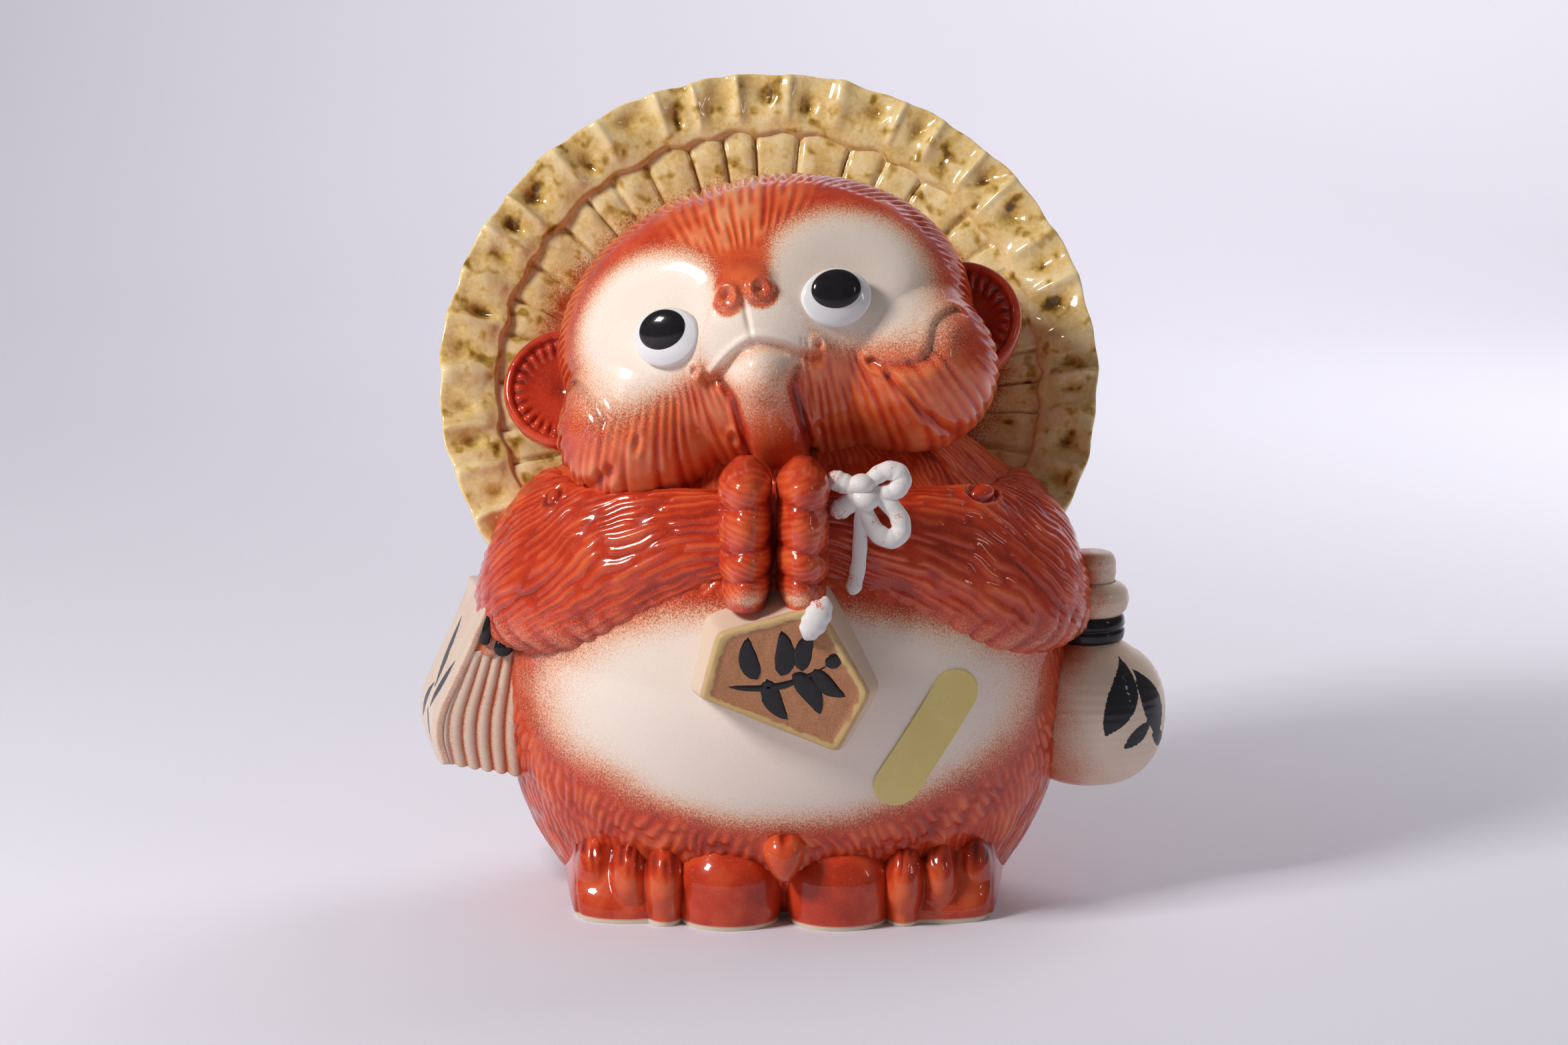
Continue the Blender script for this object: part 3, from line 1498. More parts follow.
        crowns = cut_strokes(crowns, np.hypot(x, y + self.brow_focus), *self.brow_comb, 67)
        pleats = 0.5 + 0.5 * np.cos(turn * self.pleats + 1.2 * noise)
        combed = face * (fans * low + crowns * high)
        height, red = self.snout(x, y)
        tooling, lines = self.tooled(x, y)
        height = height - face * self.chin_cut * flank - self.groove_depth * combed
        height = height - self.pleat_depth * rimmed * pleats * (0.8 + 0.4 * fine) + face * tooling
        lips = 0.95 * (1.0 - smoothstep(0.6, 1.25, np.hypot(x / 20.0, (y + 17.0) / 15.0)))
        cream = 1.0 - smoothstep(0.55, 1.24, patch + 0.03 * noise)
        cream = np.maximum(cream, lips) * (1.0 - 0.9 * red)
        column = below * smoothstep(0.0, -4.0, aside)
        cream = face * np.maximum(cream, 0.5 * column * smoothstep(-46.0, -28.0, y))
        thin = self.tone + face * (0.40 * (low + high) + 0.16 * column + 0.16 * red)
        shade = 0.42 * combed + 0.3 * face * lines + 0.3 * flank
        relief = thin - shade + 0.05 * noise + rimmed * (0.30 - 0.5 * pleats)
        return height + 0.12 * noise, cream, relief

    def skin(self, edge: Floats) -> Patch:
        """The head's surface over a column of rings: the dome up to 1, then the collar back into the hat.

        Args:
            edge: The rings: 0 in the middle, 1 at the rim and 2 at the collar's end.

        Returns:
            The surface over those rings.
        """
        turn = full_turn(self.columns)
        swing = np.minimum(edge, 1.0) * math.pi / 2
        back = np.maximum(edge - 1.0, 0.0) * self.collar
        x = HEAD.half_width * np.sin(swing) * np.cos(turn)
        y = HEAD.half_height * np.sin(swing) * np.sin(turn)
        z = HEAD.depth * np.cos(swing) - back
        bare = joined(x, y, z)
        forward = np.where(back > 0.0, 0.0, np.maximum(z, 0.0) / HEAD.depth**2)
        out = unit(joined(x / HEAD.half_width**2, y / HEAD.half_height**2, forward))
        height, cream, relief = self.relief(x, y, edge + 0.0 * turn, turn + 0.0 * edge)
        points = HEAD.out(bare + out * (height + self.forms(bare, out))[..., None])
        points = Hat().hold(points, self.bury)
        if edge[0, 0] == 0.0:
            points[0] = points[0].mean(axis=0)
        tints = {Tint.CREAM: cream, Tint.RELIEF: relief, Tint.BLUSH: cream}
        return Patch(points, tints=tints, inside=tuple(HEAD.out(np.array([0.0, 0.0, -20.0]))))

    def build(self, finishes: Finishes) -> None:
        """Makes the face and, from the same columns, the back of the head.

        Args:
            finishes: The figure's finishes.
        """
        lap = 1.0 + self.lap / self.collar
        face = np.concatenate([np.linspace(0.0, 1.0, self.rings), np.linspace(1.0, lap, 8)[1:]])[:, None]
        make_piece("face_relief", [self.skin(face)], finishes.red, "face_shell")
        collar = np.linspace(lap, 2.0, self.collar_rings)[:, None]
        make_piece("head_collar", [self.skin(collar)], finishes.red, "head_back_shell")


@dataclass
class Eyes:
    """Glazed eyes: a white dome with a rolled lid edge, and a black drop set high on it."""

    spacing: float = 52.6
    drop: float = 11.5
    width: float = 22.0
    height: float = 18.0
    stand: float = 3.6
    pupil_width: float = 15.6
    pupil_height: float = 12.4
    pupil_stand: float = 1.4
    pupil_lift: float = 2.0
    rings: int = 40
    columns: int = 96

    def drop_form(self, across: float, up: float, size: Triple, rim: float, lift: float) -> Patch:
        """An oval drop on the face: a half-egg over a buried foot, with a raised rim near its edge.

        Args:
            across: Distance across the face.
            up: Distance up the face.
            size: Width, height and stand.
            rim: Height of the raised rim as a share of the stand.
            lift: How far the drop is raised off the face.

        Returns:
            The drop's surface.
        """
        share = even_shares(self.rings)
        turn = full_turn(self.columns)
        swing = share * math.pi * 0.86
        radius = np.sin(swing)
        rise = np.cos(swing) + rim * bell(share - 0.46, 0.06)
        place, axes = HEAD.seat(across, up, lift)
        wide, tall, thick = size
        local = joined(wide / 2 * radius * np.cos(turn), tall / 2 * radius * np.sin(turn), thick * rise)
        blush = 0.7 * smoothstep(0.56, 0.68, share)
        points = HEAD.out(place + local @ axes)
        return Patch(points, tints={Tint.BLUSH: blush}, inside=tuple(HEAD.out(place - 6.0 * axes[2])))

    def build(self, finishes: Finishes) -> None:
        """Makes both eyes as one white piece and one black piece.

        Args:
            finishes: The figure's finishes.
        """
        whites, blacks = [], []
        white = (self.width, self.height, self.stand)
        black = (self.pupil_width, self.pupil_height, 2.0 * self.pupil_stand)
        pupil_level, pupil_seat = self.pupil_lift - self.drop, self.stand - self.pupil_stand
        for side in Side:
            across = side.value * self.spacing / 2
            whites.append(self.drop_form(across, -self.drop, white, 0.05, 0.0))
            blacks.append(self.drop_form(across, pupil_level, black, 0.0, pupil_seat))
        make_piece("eye_white_drops", whites, finishes.white, "eye_whites")
        make_piece("eye_black_drops", blacks, finishes.black, "eye_pupils")


@dataclass
class Ears:
    """Cupped ears: a smooth rolled rim, a row of beads inside it and a soft pad in the hollow."""

    width: float = 36.0
    height: float = 40.0
    thickness: float = 16.0
    spread: dict[Side, float] = field(default_factory=lambda: {Side.LEFT: -5.0, Side.RIGHT: 2.0})
    drop: float = 4.0
    uneven: float = 4.0
    setback: float = 12.0
    beads: int = 25
    bead_height: float = 1.9
    bead_reach: float = 0.70
    dish: float = 0.84
    hollow: float = 5.0
    roll_height: float = 2.2
    pad_height: float = 1.6
    front_share: float = 0.66
    rings: int = 100
    columns: int = 220

    def ear(self, side: Side) -> Patch:
        """A disc dished in front by a cosine hollow, with beads round the dish and a rounded back.

        Args:
            side: Which ear.

        Returns:
            The ear's surface.
        """
        share = even_shares(self.rings)
        turn = full_turn(self.columns)
        front = share < self.front_share
        fore = np.sin(np.minimum(share / self.front_share, 1.0) * math.pi / 2)
        aft = np.cos((share - self.front_share) / (1.0 - self.front_share) * math.pi / 2)
        reach = np.where(front, fore, aft)
        cup = np.clip(reach / self.dish, 0.0, 1.0)
        hollow = -self.hollow * 0.5 * (1.0 + np.cos(math.pi * cup))
        roll = self.roll_height * np.sqrt(np.clip(1.0 - ((reach - 0.91) / 0.09) ** 2, 0.0, 1.0))
        row = bell(reach - self.bead_reach, 0.11)
        bead = np.abs(np.sin(turn * self.beads / 2)) ** 0.7 * row
        pad = dome(reach - 0.1, 0.0 * reach, 0.42, 1.0)
        face = self.thickness / 2 * 0.42 * np.sqrt(np.clip(1.0 - 0.6 * reach**2, 0.0, 1.0))
        face = face + hollow + roll + self.bead_height * (bead - 0.45 * row) + self.pad_height * pad
        rear = -self.thickness / 2 * np.sqrt(np.clip(1.0 - reach**2, 0.0, 1.0))
        z = np.where(front, face, rear)
        across = side.value * (HEAD.half_width + self.spread[side])
        seat = np.array([across, -self.drop - side.value * self.uneven, -self.setback])
        swell = reach * (1.0 + 0.02 * np.sin(3.0 * turn + side.value))
        local = joined(self.width / 2 * swell * np.cos(turn), self.height / 2 * swell * np.sin(turn), z)
        points = HEAD.out(seat + local)
        tone = 0.30 + 0.34 * bead - 0.22 * row - 0.10 * (1.0 - cup)
        tone = tone + 0.12 * smoothstep(self.dish, 0.92, reach)
        relief = np.where(front, tone, 0.40) + 0.05 * grain(points, 4.0, 71)
        return Patch(points, tints={Tint.RELIEF: relief})

    def build(self, finishes: Finishes) -> None:
        """Makes both ears."""
        for side in Side:
            make_piece(f"{side.label}_cupped_ear", [self.ear(side)], finishes.red, f"{side.label}_ear")


@dataclass
class Hat:
    """Straw hat worn on the back of the head: a shallow cone with panels, and a beaten rim band."""

    centre: Triple = (-5.0, 24.0, 163.0)
    tilt: float = 29.0
    radius: float = 107.0
    band: float = 86.5
    lap: float = 90.0
    cone_depth: float = 38.0
    thickness: float = 7.0
    rim_stand: float = 1.5
    rim_swell: float = 1.6
    ridge: float = 1.4
    lump_tilt: float = 1.8
    broad_dent: float = 1.4
    deep_dent: float = 2.2
    tuck_depth: float = 4.5
    pillow: float = 0.9
    panel_tilt: float = 0.8
    slit_depth: float = 1.7
    ring_pitch: float = 9.5
    rim_tone: float = 0.84
    crown_tone: float = 0.92
    lumps: int = 38
    panels: int = 40
    front_share: float = 0.66
    rim_rows: int = 96
    rim_columns: int = 960
    crown_rows: int = 76
    crown_columns: int = 600

    def axes(self) -> Floats:
        """Rows for the hat's own directions: across, up its face, and out along its axis.

        Returns:
            The three rows.
        """
        tilt = math.radians(self.tilt)
        up, out = [0.0, math.sin(tilt), math.cos(tilt)], [0.0, -math.cos(tilt), math.sin(tilt)]
        return np.array([[1.0, 0.0, 0.0], up, out])

    def out(self, radius: Floats, turn: Floats, along: Floats) -> Floats:
        """Carries places given by radius, turn and distance along the hat's axis to the figure's axes."""
        local = joined(radius * np.cos(turn), radius * np.sin(turn), along)
        return np.array(self.centre) + local @ self.axes()

    def face(self, radius: Floats) -> Floats:
        """How far the cone's front face lies behind the rim plane at a radius."""
        return -self.cone_depth / self.radius * (self.radius - radius)

    def hold(self, points: Floats, bury: float) -> Floats:
        """Lifts places that lie deeper than a given depth behind the cone's front face back to that depth.

        Args:
            points: The places.
            bury: The depth.

        Returns:
            The places, lifted where they lay too deep.
        """
        local = (points - self.centre) @ self.axes().T
        lowest = self.face(np.hypot(local[..., 0], local[..., 1])) - bury
        return points + np.maximum(lowest - local[..., 2], 0.0)[..., None] * self.axes()[2]

    def rim(self) -> Patch:
        """The rim band: a rounded profile carried round the hat, beaten into lumps.

        The profile runs out over the front, round the edge and back behind. Round the hat the band is parted
        into lumps. Each is tilted by a sine that dies out at its ends, dented once broadly and once deeply at
        places set by chance, and raised to a ridge where it meets the next. Both edges wave with the lumps.

        Returns:
            The rim's surface.
        """
        row = np.linspace(0.0, 1.0, self.rim_rows, endpoint=False)[:, None]
        turn = full_turn(self.rim_columns)
        front = row < self.front_share
        share = np.where(front, row / self.front_share, (1.0 - row) / (1.0 - self.front_share))
        lane = turn * self.lumps / TURN + 0.16 * np.sin(7.0 * turn) + 0.1 * np.sin(17.0 * turn)
        number = np.floor(lane) % self.lumps
        part = lane - np.floor(lane)
        chance = [dice(number, 81 + index) - 0.5 for index in range(6)]
        pitch, wide = self.radius * TURN / self.lumps, self.radius - self.band
        joint = bell(np.minimum(part, 1.0 - part), 0.11)
        tilt = chance[0] * np.sin(TURN * part)
        broad = pit((part - 0.5 + 0.3 * chance[1]) * pitch, (share - 0.55) * wide, 6.0)
        deep = pit((part - 0.5 - 0.4 * chance[2]) * pitch, (share - 0.36 - 0.2 * chance[3]) * wide, 2.6)
        deep = deep * (0.55 + 0.9 * (chance[4] + 0.5))
        inner = self.band + 0.6 * np.sin(lane * TURN + 0.6) + 0.4 * np.sin(23.0 * turn)
        edge = self.radius - 0.7 + 0.3 * np.sin(19.0 * turn + 0.7) + 0.25 * np.sin(43.0 * turn + 1.0)
        radius = inner + (edge - inner) * np.sin(share * math.pi / 2) ** 0.9
        swell = self.rim_stand * (1.0 - share) ** 0.6 + self.rim_swell * np.sin(math.pi * share) ** 0.7
        worked = np.sin(math.pi * np.clip(share, 0.0, 1.0)) ** 0.5
        wave = grain(self.out(radius, turn, self.face(radius)), 6.0, 87)
        beaten = smoothstep(0.05, 0.16, share)
        beating = self.ridge * joint + self.lump_tilt * tilt - self.broad_dent * broad - self.deep_dent * deep
        height = swell + beaten * worked * (beating + 0.5 * wave)
        tuck = 1.0 - smoothstep(0.0, 0.045, share)
        ahead = self.face(radius) + height - self.tuck_depth * tuck
        behind = self.face(radius) - self.thickness * np.sqrt(np.clip(1.0 - share**3, 0.0, 1.0))
        behind = behind - 0.5 * joint * worked
        points = self.out(radius, turn, np.where(front, ahead, behind))
        shade = 0.2 * joint + 0.14 * tilt - 0.08 * broad - 0.6 * deep
        tone = self.rim_tone + beaten * worked * shade + 0.1 * wave
        tone = tone + 0.1 * smoothstep(0.8, 0.97, share)
        relief = np.where(front, tone, 0.46 + 0.12 * joint + 0.16 * wave)
        return Patch(points, wrap_rows=True, tints={Tint.RELIEF: relief})

    def crown(self) -> Patch:
        """The cone: panels parted by radial cuts in front; rings and straws behind, up to a blunt tip.

        Returns:
            The crown's surface.
        """
        share = even_shares(self.crown_rows)
        turn = full_turn(self.crown_columns)
        lane = turn * self.panels / TURN + 0.22 * np.sin(3.0 * turn) + 0.14 * np.sin(11.0 * turn)
        number = np.floor(lane) % self.panels
        part = lane - np.floor(lane)
        radius = self.lap * share + 0.0 * turn
        gap = np.minimum(part, 1.0 - part) * radius * TURN / self.panels
        slit = bell(gap, 0.6) * smoothstep(20.0, 45.0, radius)
        pillow = np.sin(math.pi * part) ** 0.5 * smoothstep(20.0, 60.0, radius)
        tilt = (dice(number, 91) - 0.5) * np.sin(TURN * part) * smoothstep(20.0, 60.0, radius)
        bare = self.out(radius, turn, self.face(radius))
        noise, ripple = grain(bare, 7.0, 93), grain(bare, 3.5, 95)
        front = self.face(radius) + self.pillow * pillow + self.panel_tilt * tilt - self.slit_depth * slit
        front = front + 0.4 * noise + 0.2 * ripple
        front = front - 0.8 * smoothstep(82.0, 86.5, radius)
        from_head = np.hypot(radius * np.cos(turn) * 0.86, radius * np.sin(turn) - 7.0) + 3.0 * noise
        sprayed = 1.0 - smoothstep(56.0, 75.0, from_head)
        tone = self.crown_tone - 0.3 * slit + 0.12 * noise + 0.1 * ripple
        tone = tone - 0.16 * pillow * smoothstep(0.0, 0.6, ripple)
        tone = tone - 0.16 * pit((part - 0.5) * 14.0, radius - 76.0, 5.0)
        straws = np.abs(np.sin(lane * math.pi * 3.0)) * smoothstep(8.0, 30.0, radius)
        rings = np.abs(np.sin(radius * math.pi / self.ring_pitch + 0.25 * np.sin(lane * TURN))) ** 0.6
        rear = self.face(radius) - self.thickness - 0.5 * straws - 0.8 * rings + 2.0 * pit(radius, 0.0, 5.0)
        rear = rear + 2.4 * smoothstep(85.0, 89.0, radius)
        rear_tone = 0.42 + 0.2 * straws + 0.28 * rings + 0.15 * noise
        points = np.concatenate([self.out(radius, turn, front), self.out(radius, turn, rear)[::-1]])
        for row in (0, -1):
            points[row] = points[row].mean(axis=0)
        relief = np.concatenate([tone, rear_tone[::-1]])
        blush = np.concatenate([sprayed, 0.0 * sprayed])
        return Patch(points, tints={Tint.RELIEF: relief, Tint.BLUSH: blush})

    def build(self, finishes: Finishes) -> None:
        """Makes the rim and the crown."""
        make_piece("hat_beaten_rim", [self.rim()], finishes.straw, "hat_rim")
        make_piece("hat_panelled_crown", [self.crown()], finishes.straw, "hat_crown")


@dataclass
class Plaque:
    """Gabled votive board with drafted sides, a brushed leaf sprig and the end of its hanging cord."""

    width: float = 45.0
    eave_width: float = 50.0
    eave: float = 20.5
    apex: float = 40.0
    stand: float = 14.0
    draft: float = 14.0
    turn: float = -22.0
    across: float = -4.6
    level: float = 69.5
    middle: float = 17.0
    cord_size: float = 8.0
    cord_length: float = 15.0
    corner_power: int = 26
    worn: float = 1.1
    lip_share: float = 0.06
    columns: int = 360
    face_rings: int = 72
    side_rings: int = 30
    cord_grid: tuple[int, int] = (60, 48)
    stroke_grid: tuple[int, int] = (40, 14)
    sprig: tuple[tuple[tuple[float, float], tuple[float, float], float], ...] = (
        ((-16.0, -9.5), (9.5, 8.0), 1.1),
        ((-8.5, -4.0), (-16.0, 7.0), 3.0),
        ((-2.5, -0.4), (-7.5, 12.5), 3.2),
        ((3.0, 3.4), (1.5, 16.0), 2.8),
        ((-6.0, -2.8), (4.5, -12.0), 3.0),
        ((0.5, 1.6), (13.0, -7.0), 3.2),
        ((6.0, 5.4), (18.0, 1.0), 2.7),
        ((9.0, 7.5), (14.0, 12.0), 2.2),
    )

    def plane(self) -> tuple[Floats, Floats]:
        """The board's lower middle and its axes: across, up the gable, and out towards the viewer.

        Returns:
            The place, and rows for the axes.
        """
        turn = math.radians(self.turn)
        face = TORSO.front(0.0, self.level + self.eave) - self.stand
        along, up = [math.cos(turn), 0.0, math.sin(turn)], [-math.sin(turn), 0.0, math.cos(turn)]
        return np.array([self.across, face, self.level]), np.array([along, up, [0.0, -1.0, 0.0]])

    def outline(self, turn: Floats) -> Floats:
        """Distance from the board's middle to its five edges, their corners rounded by a high power mean.

        Args:
            turn: Angles round the board's middle.

        Returns:
            The distances.
        """
        slope = math.atan2(self.apex - self.eave, self.eave_width / 2)
        flare = math.atan2((self.eave_width - self.width) / 2, self.eave)
        roof = (self.apex - self.middle) * math.cos(slope)
        wall = (self.width / 2 + self.middle * math.tan(flare)) * math.cos(flare)
        edges = [(-math.pi / 2, self.middle), (-flare, wall), (math.pi + flare, wall)]
        edges += [(math.pi / 2 - slope, roof), (math.pi / 2 + slope, roof)]
        total = np.zeros_like(turn)
        for angle, reach in edges:
            total += (np.clip(np.cos(turn - angle), 0.0, 1.0) / reach) ** self.corner_power
        return total ** (-1.0 / self.corner_power)

    def board(self) -> Patch:
        """Rings from the middle out over the face, round a worn edge and back down the drafted sides.

        Returns:
            The board's surface.
        """
        turn = full_turn(self.columns)
        reach = self.outline(turn)
        share = np.concatenate([np.linspace(0.0, 1.0, self.face_rings), np.ones(self.side_rings)])[:, None]
        sides = np.linspace(0.0, 1.0, self.side_rings + 1)[1:]
        edge = np.concatenate([np.zeros(self.face_rings), sides])[:, None]
        back = 2.0 * self.stand * np.maximum(edge - self.lip_share, 0.0)
        round_lip = np.minimum(edge / self.lip_share, 1.0) * math.pi / 2
        slant = math.tan(math.radians(self.draft))
        radius = (reach - self.worn) * share + self.worn * np.sin(round_lip) + back * slant
        sunk = 0.5 * smoothstep(0.97, 0.86, share) - 0.25
        out = -self.worn * (1.0 - np.cos(round_lip)) - back - np.where(edge > 0.0, 0.25, sunk)
        local = joined(radius * np.cos(turn), self.middle + radius * np.sin(turn), out)
        local[..., 2] += np.where(edge > 0.0, 0.0, 0.16 * grain(local, 2.6, 101))
        place, axes = self.plane()
        bottom = np.broadcast_to(place + local[-1].mean(axis=0) @ axes, (1, self.columns, 3))
        points = np.concatenate([place + local @ axes, bottom])
        points[0] = points[0].mean(axis=0)
        cream = smoothstep(0.03, 0.10, edge)
        ochre = smoothstep(0.86, 0.98, share) * (1.0 - smoothstep(0.03, 0.08, edge))
        shares = {Tint.CREAM: cream, Tint.BLUSH: ochre}
        tints = {tint: np.concatenate([value, value[-1:]]) for tint, value in shares.items()}
        return Patch(points, tints=tints)

    def leaves(self) -> list[Patch]:
        """Flat brushed strokes: a stem and pointed leaves, each a bent oval ribbon that swells and tapers.

        Returns:
            One surface for each stroke.
        """
        place, axes = self.plane()
        strokes = []
        for index, ((x0, y0), (x1, y1), width) in enumerate(self.sprig):
            share = even_shares(self.stroke_grid[0])
            bow = 0.10 * math.hypot(x1 - x0, y1 - y0) * np.sin(math.pi * share) * (1.0 if index % 2 else -1.0)
            normal = unit(np.array([-(y1 - y0), x1 - x0]))
            flat = np.array([x0, y0]) + share * np.array([x1 - x0, y1 - y0]) + bow * normal
            local = np.concatenate([flat + [0.0, self.middle - 1.0], 0.0 * share - 0.2], axis=1)
            part = share[:, 0]
            swell = np.sin(math.pi * part**0.75) ** 0.8 * 0.92 + 0.08
            radii = width * swell * np.sqrt(np.clip(12.0 * np.minimum(part, 1.0 - part), 0.0, 1.0))
            points = tube(local, radii, self.stroke_grid[1], 0.0, (0.0, 0.0, 1.0))
            rim = np.sin(full_turn(self.stroke_grid[1]))
            points[..., 2] += 0.22 * rim * np.minimum(radii, 1.0)[:, None]
            strokes.append(Patch(place + points @ axes))
        return strokes

    def build(self, finishes: Finishes) -> None:
        """Makes the board, its brushed sprig and the cord end.

        Args:
            finishes: The figure's finishes.
        """
        make_piece("plaque_board", [self.board()], finishes.tan, "plaque")
        make_piece("plaque_brushed_leaves", self.leaves(), finishes.black)
        place, axes = self.plane()
        share = np.linspace(0.0, 1.0, self.cord_grid[0])
        swing = math.pi * share
        top = self.apex - self.cord_length / 3 + self.cord_length / 2
        bent = 0.9 * np.sin(swing * 1.3)
        fall = 0.86 * self.cord_length * (0.5 - 0.5 * np.cos(swing))
        path = joined(bent, top - fall, 0.6 + 0.5 * np.sin(swing))
        twist = 1.0 + 0.05 * np.sin(share * 34.0)
        radii = self.cord_size / 2 * np.sin(swing) ** 0.6 * twist
        points = tube(path, radii, self.cord_grid[1], 0.72, (0.0, 0.0, 1.0))
        drop = Patch(place + points @ axes, tints={Tint.BLUSH: (0.25 + 0.3 * np.cos(swing))[:, None]})
        make_piece("plaque_cord_drop", [drop], finishes.chalk, "plaque_cord_end")


@dataclass
class Bow:
    """Cord bow on the left arm: a knot of two beads, two fat loops, two stubby ends and a long flat tail.

    Each loop is its turn round the knot, its reach from it and its radius. Each bead is its place across and
    up, and its half sizes as shares of the knot. The wrist is the arm's angle, height and thickness there.
    """

    across: float = 24.0
    level: float = 138.5
    stand: float = 4.5
    knot: float = 10.0
    cord: float = 5.0
    loops: tuple[Triple, ...] = ((22.0, 8.0, 4.0), (-54.0, 12.0, 5.0))
    end_length: float = 12.0
    end_size: float = 7.0
    end_turns: tuple[float, ...] = (154.0, 214.0)
    tail_length: float = 32.0
    tail_swing: float = -98.0
    wrist: Triple = (84.0, 121.0, 23.0)
    loop_grid: tuple[int, int] = (110, 36)
    end_grid: tuple[int, int] = (80, 40)
    knot_grid: tuple[int, int] = (70, 90)
    beads: tuple[tuple[float, float, float, float], ...] = ((-0.6, 2.4, 0.40, 0.32), (0.5, -2.2, 0.44, 0.36))

    def face(self) -> float:
        """Y of the plane in which the bow lies.

        Returns:
            The plane's Y.
        """
        angle, level, thickness = self.wrist
        middle = Arms().middle(Side.LEFT, np.array(angle), np.array(level))
        return float(middle[1]) - thickness / 2 - self.stand

    def place(self, flat: Floats, lift: Floats) -> Floats:
        """Carries places in the bow's plane, with their lift towards the viewer, to the figure's axes."""
        return joined(self.across + flat[..., 0], self.face() - lift, self.level + flat[..., 1])

    def away(self, turn: float, reach: Floats, aside: Floats) -> Floats:
        """Places out from the knot along a direction, with a step aside from it.

        Args:
            turn: The direction in degrees.
            reach: Distances along it.
            aside: Steps to its left.

        Returns:
            Places in the bow's plane.
        """
        angle = math.radians(turn)
        x = reach * math.cos(angle) - aside * math.sin(angle)
        return joined(x, reach * math.sin(angle) + aside * math.cos(angle))

    def ring(self, turn: float, reach: float, radius: float) -> Patch:
        """One loop: a cord carried once out round a drop-shaped ring and back into the knot.

        Args:
            turn: Its direction from the knot in degrees.
            reach: Its reach from the knot.
            radius: Its radius.

        Returns:
            The loop's surface.
        """
        share = np.linspace(0.0, 1.0, self.loop_grid[0])
        swing = TURN * share
        ahead = 1.0 + (reach + radius - 1.0) * (0.5 - 0.5 * np.cos(swing))
        aside = radius * np.sin(swing) * (0.62 + 0.38 * (0.5 - 0.5 * np.cos(swing)))
        path = self.place(self.away(turn, ahead, aside), -0.8 + 1.0 * np.sin(swing / 2))
        radii = self.cord / 2 * (0.96 + 0.28 * np.sin(swing / 2) ** 2) * (1.0 + 0.03 * np.sin(share * 60.0))
        points = tube(path, radii, self.loop_grid[1], 0.95)
        closed = closed_ends(points, path[0], path[-1])
        inner = 0.2 + 0.5 * grain(closed, 3.0, 109)
        return Patch(closed, tints={Tint.BLUSH: inner})

    def blade(
        self, turn: float, length: float, size: float, sway: float, flat: float, rubbed: float
    ) -> Patch:
        """One free end: a flattened cord that leaves the knot, swells and is cut off round.

        Args:
            turn: Its direction from the knot.
            length: How far it runs.
            size: Its width.
            sway: How far it bends aside.
            flat: Its thickness as a share of its width.
            rubbed: Share of red rubbed on towards its tip.

        Returns:
            The end's surface.
        """
        steps = ((0.0, 0.0), (0.35, 0.4), (0.7, 1.0), (1.0, 0.6))
        along, bend = np.array(steps).T
        count, sides = self.end_grid
        share = np.linspace(0.0, 1.0, count)
        path = self.place(capped_path(self.away(turn, along * length, bend * sway), count), 0.6 - 1.6 * share)
        ends = 0.10 if length > 2.0 * self.end_length else 0.35
        radii = size / 2 * capped(count, ends) * (0.74 + 0.3 * share) * (1.0 + 0.03 * np.sin(share * 40.0))
        points = tube(path, radii, sides, flat)
        blush = rubbed * smoothstep(0.25, 1.0, share)[:, None] + 0.3 * grain(points, 3.5, 111)
        return Patch(points, tints={Tint.BLUSH: blush})

    def knot_form(self) -> list[Patch]:
        """The knot: two beads pressed together, one above the other, each a squashed egg.

        Returns:
            One surface for each bead.
        """
        swing = np.linspace(0.0, math.pi, self.knot_grid[0])[:, None]
        turn = full_turn(self.knot_grid[1])
        beads = []
        for x, z, wide, tall in self.beads:
            ring = np.sin(swing) * self.knot
            flat = joined(x + wide * ring * np.cos(turn), z + tall * ring * np.sin(turn))
            bead = self.place(flat, 0.8 + 4.0 * np.cos(swing))
            beads.append(Patch(bead, tints={Tint.BLUSH: 0.12 + 0.25 * grain(bead, 4.0, 115)}))
        return beads

    def build(self, finishes: Finishes) -> None:
        """Makes the knot, loops, ends and tail.

        Args:
            finishes: The figure's finishes.
        """
        ends = [self.blade(turn, self.end_length, self.end_size, 0.6, 0.85, 0.75) for turn in self.end_turns]
        tail = self.blade(self.tail_swing, self.tail_length, self.cord, 1.6, 0.6, 0.6)
        for name, patches in (
            ("bow_knot", self.knot_form()),
            ("bow_loops", [self.ring(*loop) for loop in self.loops]),
            ("bow_ends", ends),
            ("bow_tail", [tail]),
        ):
            make_piece(f"{name}_cord", patches, finishes.chalk, name)


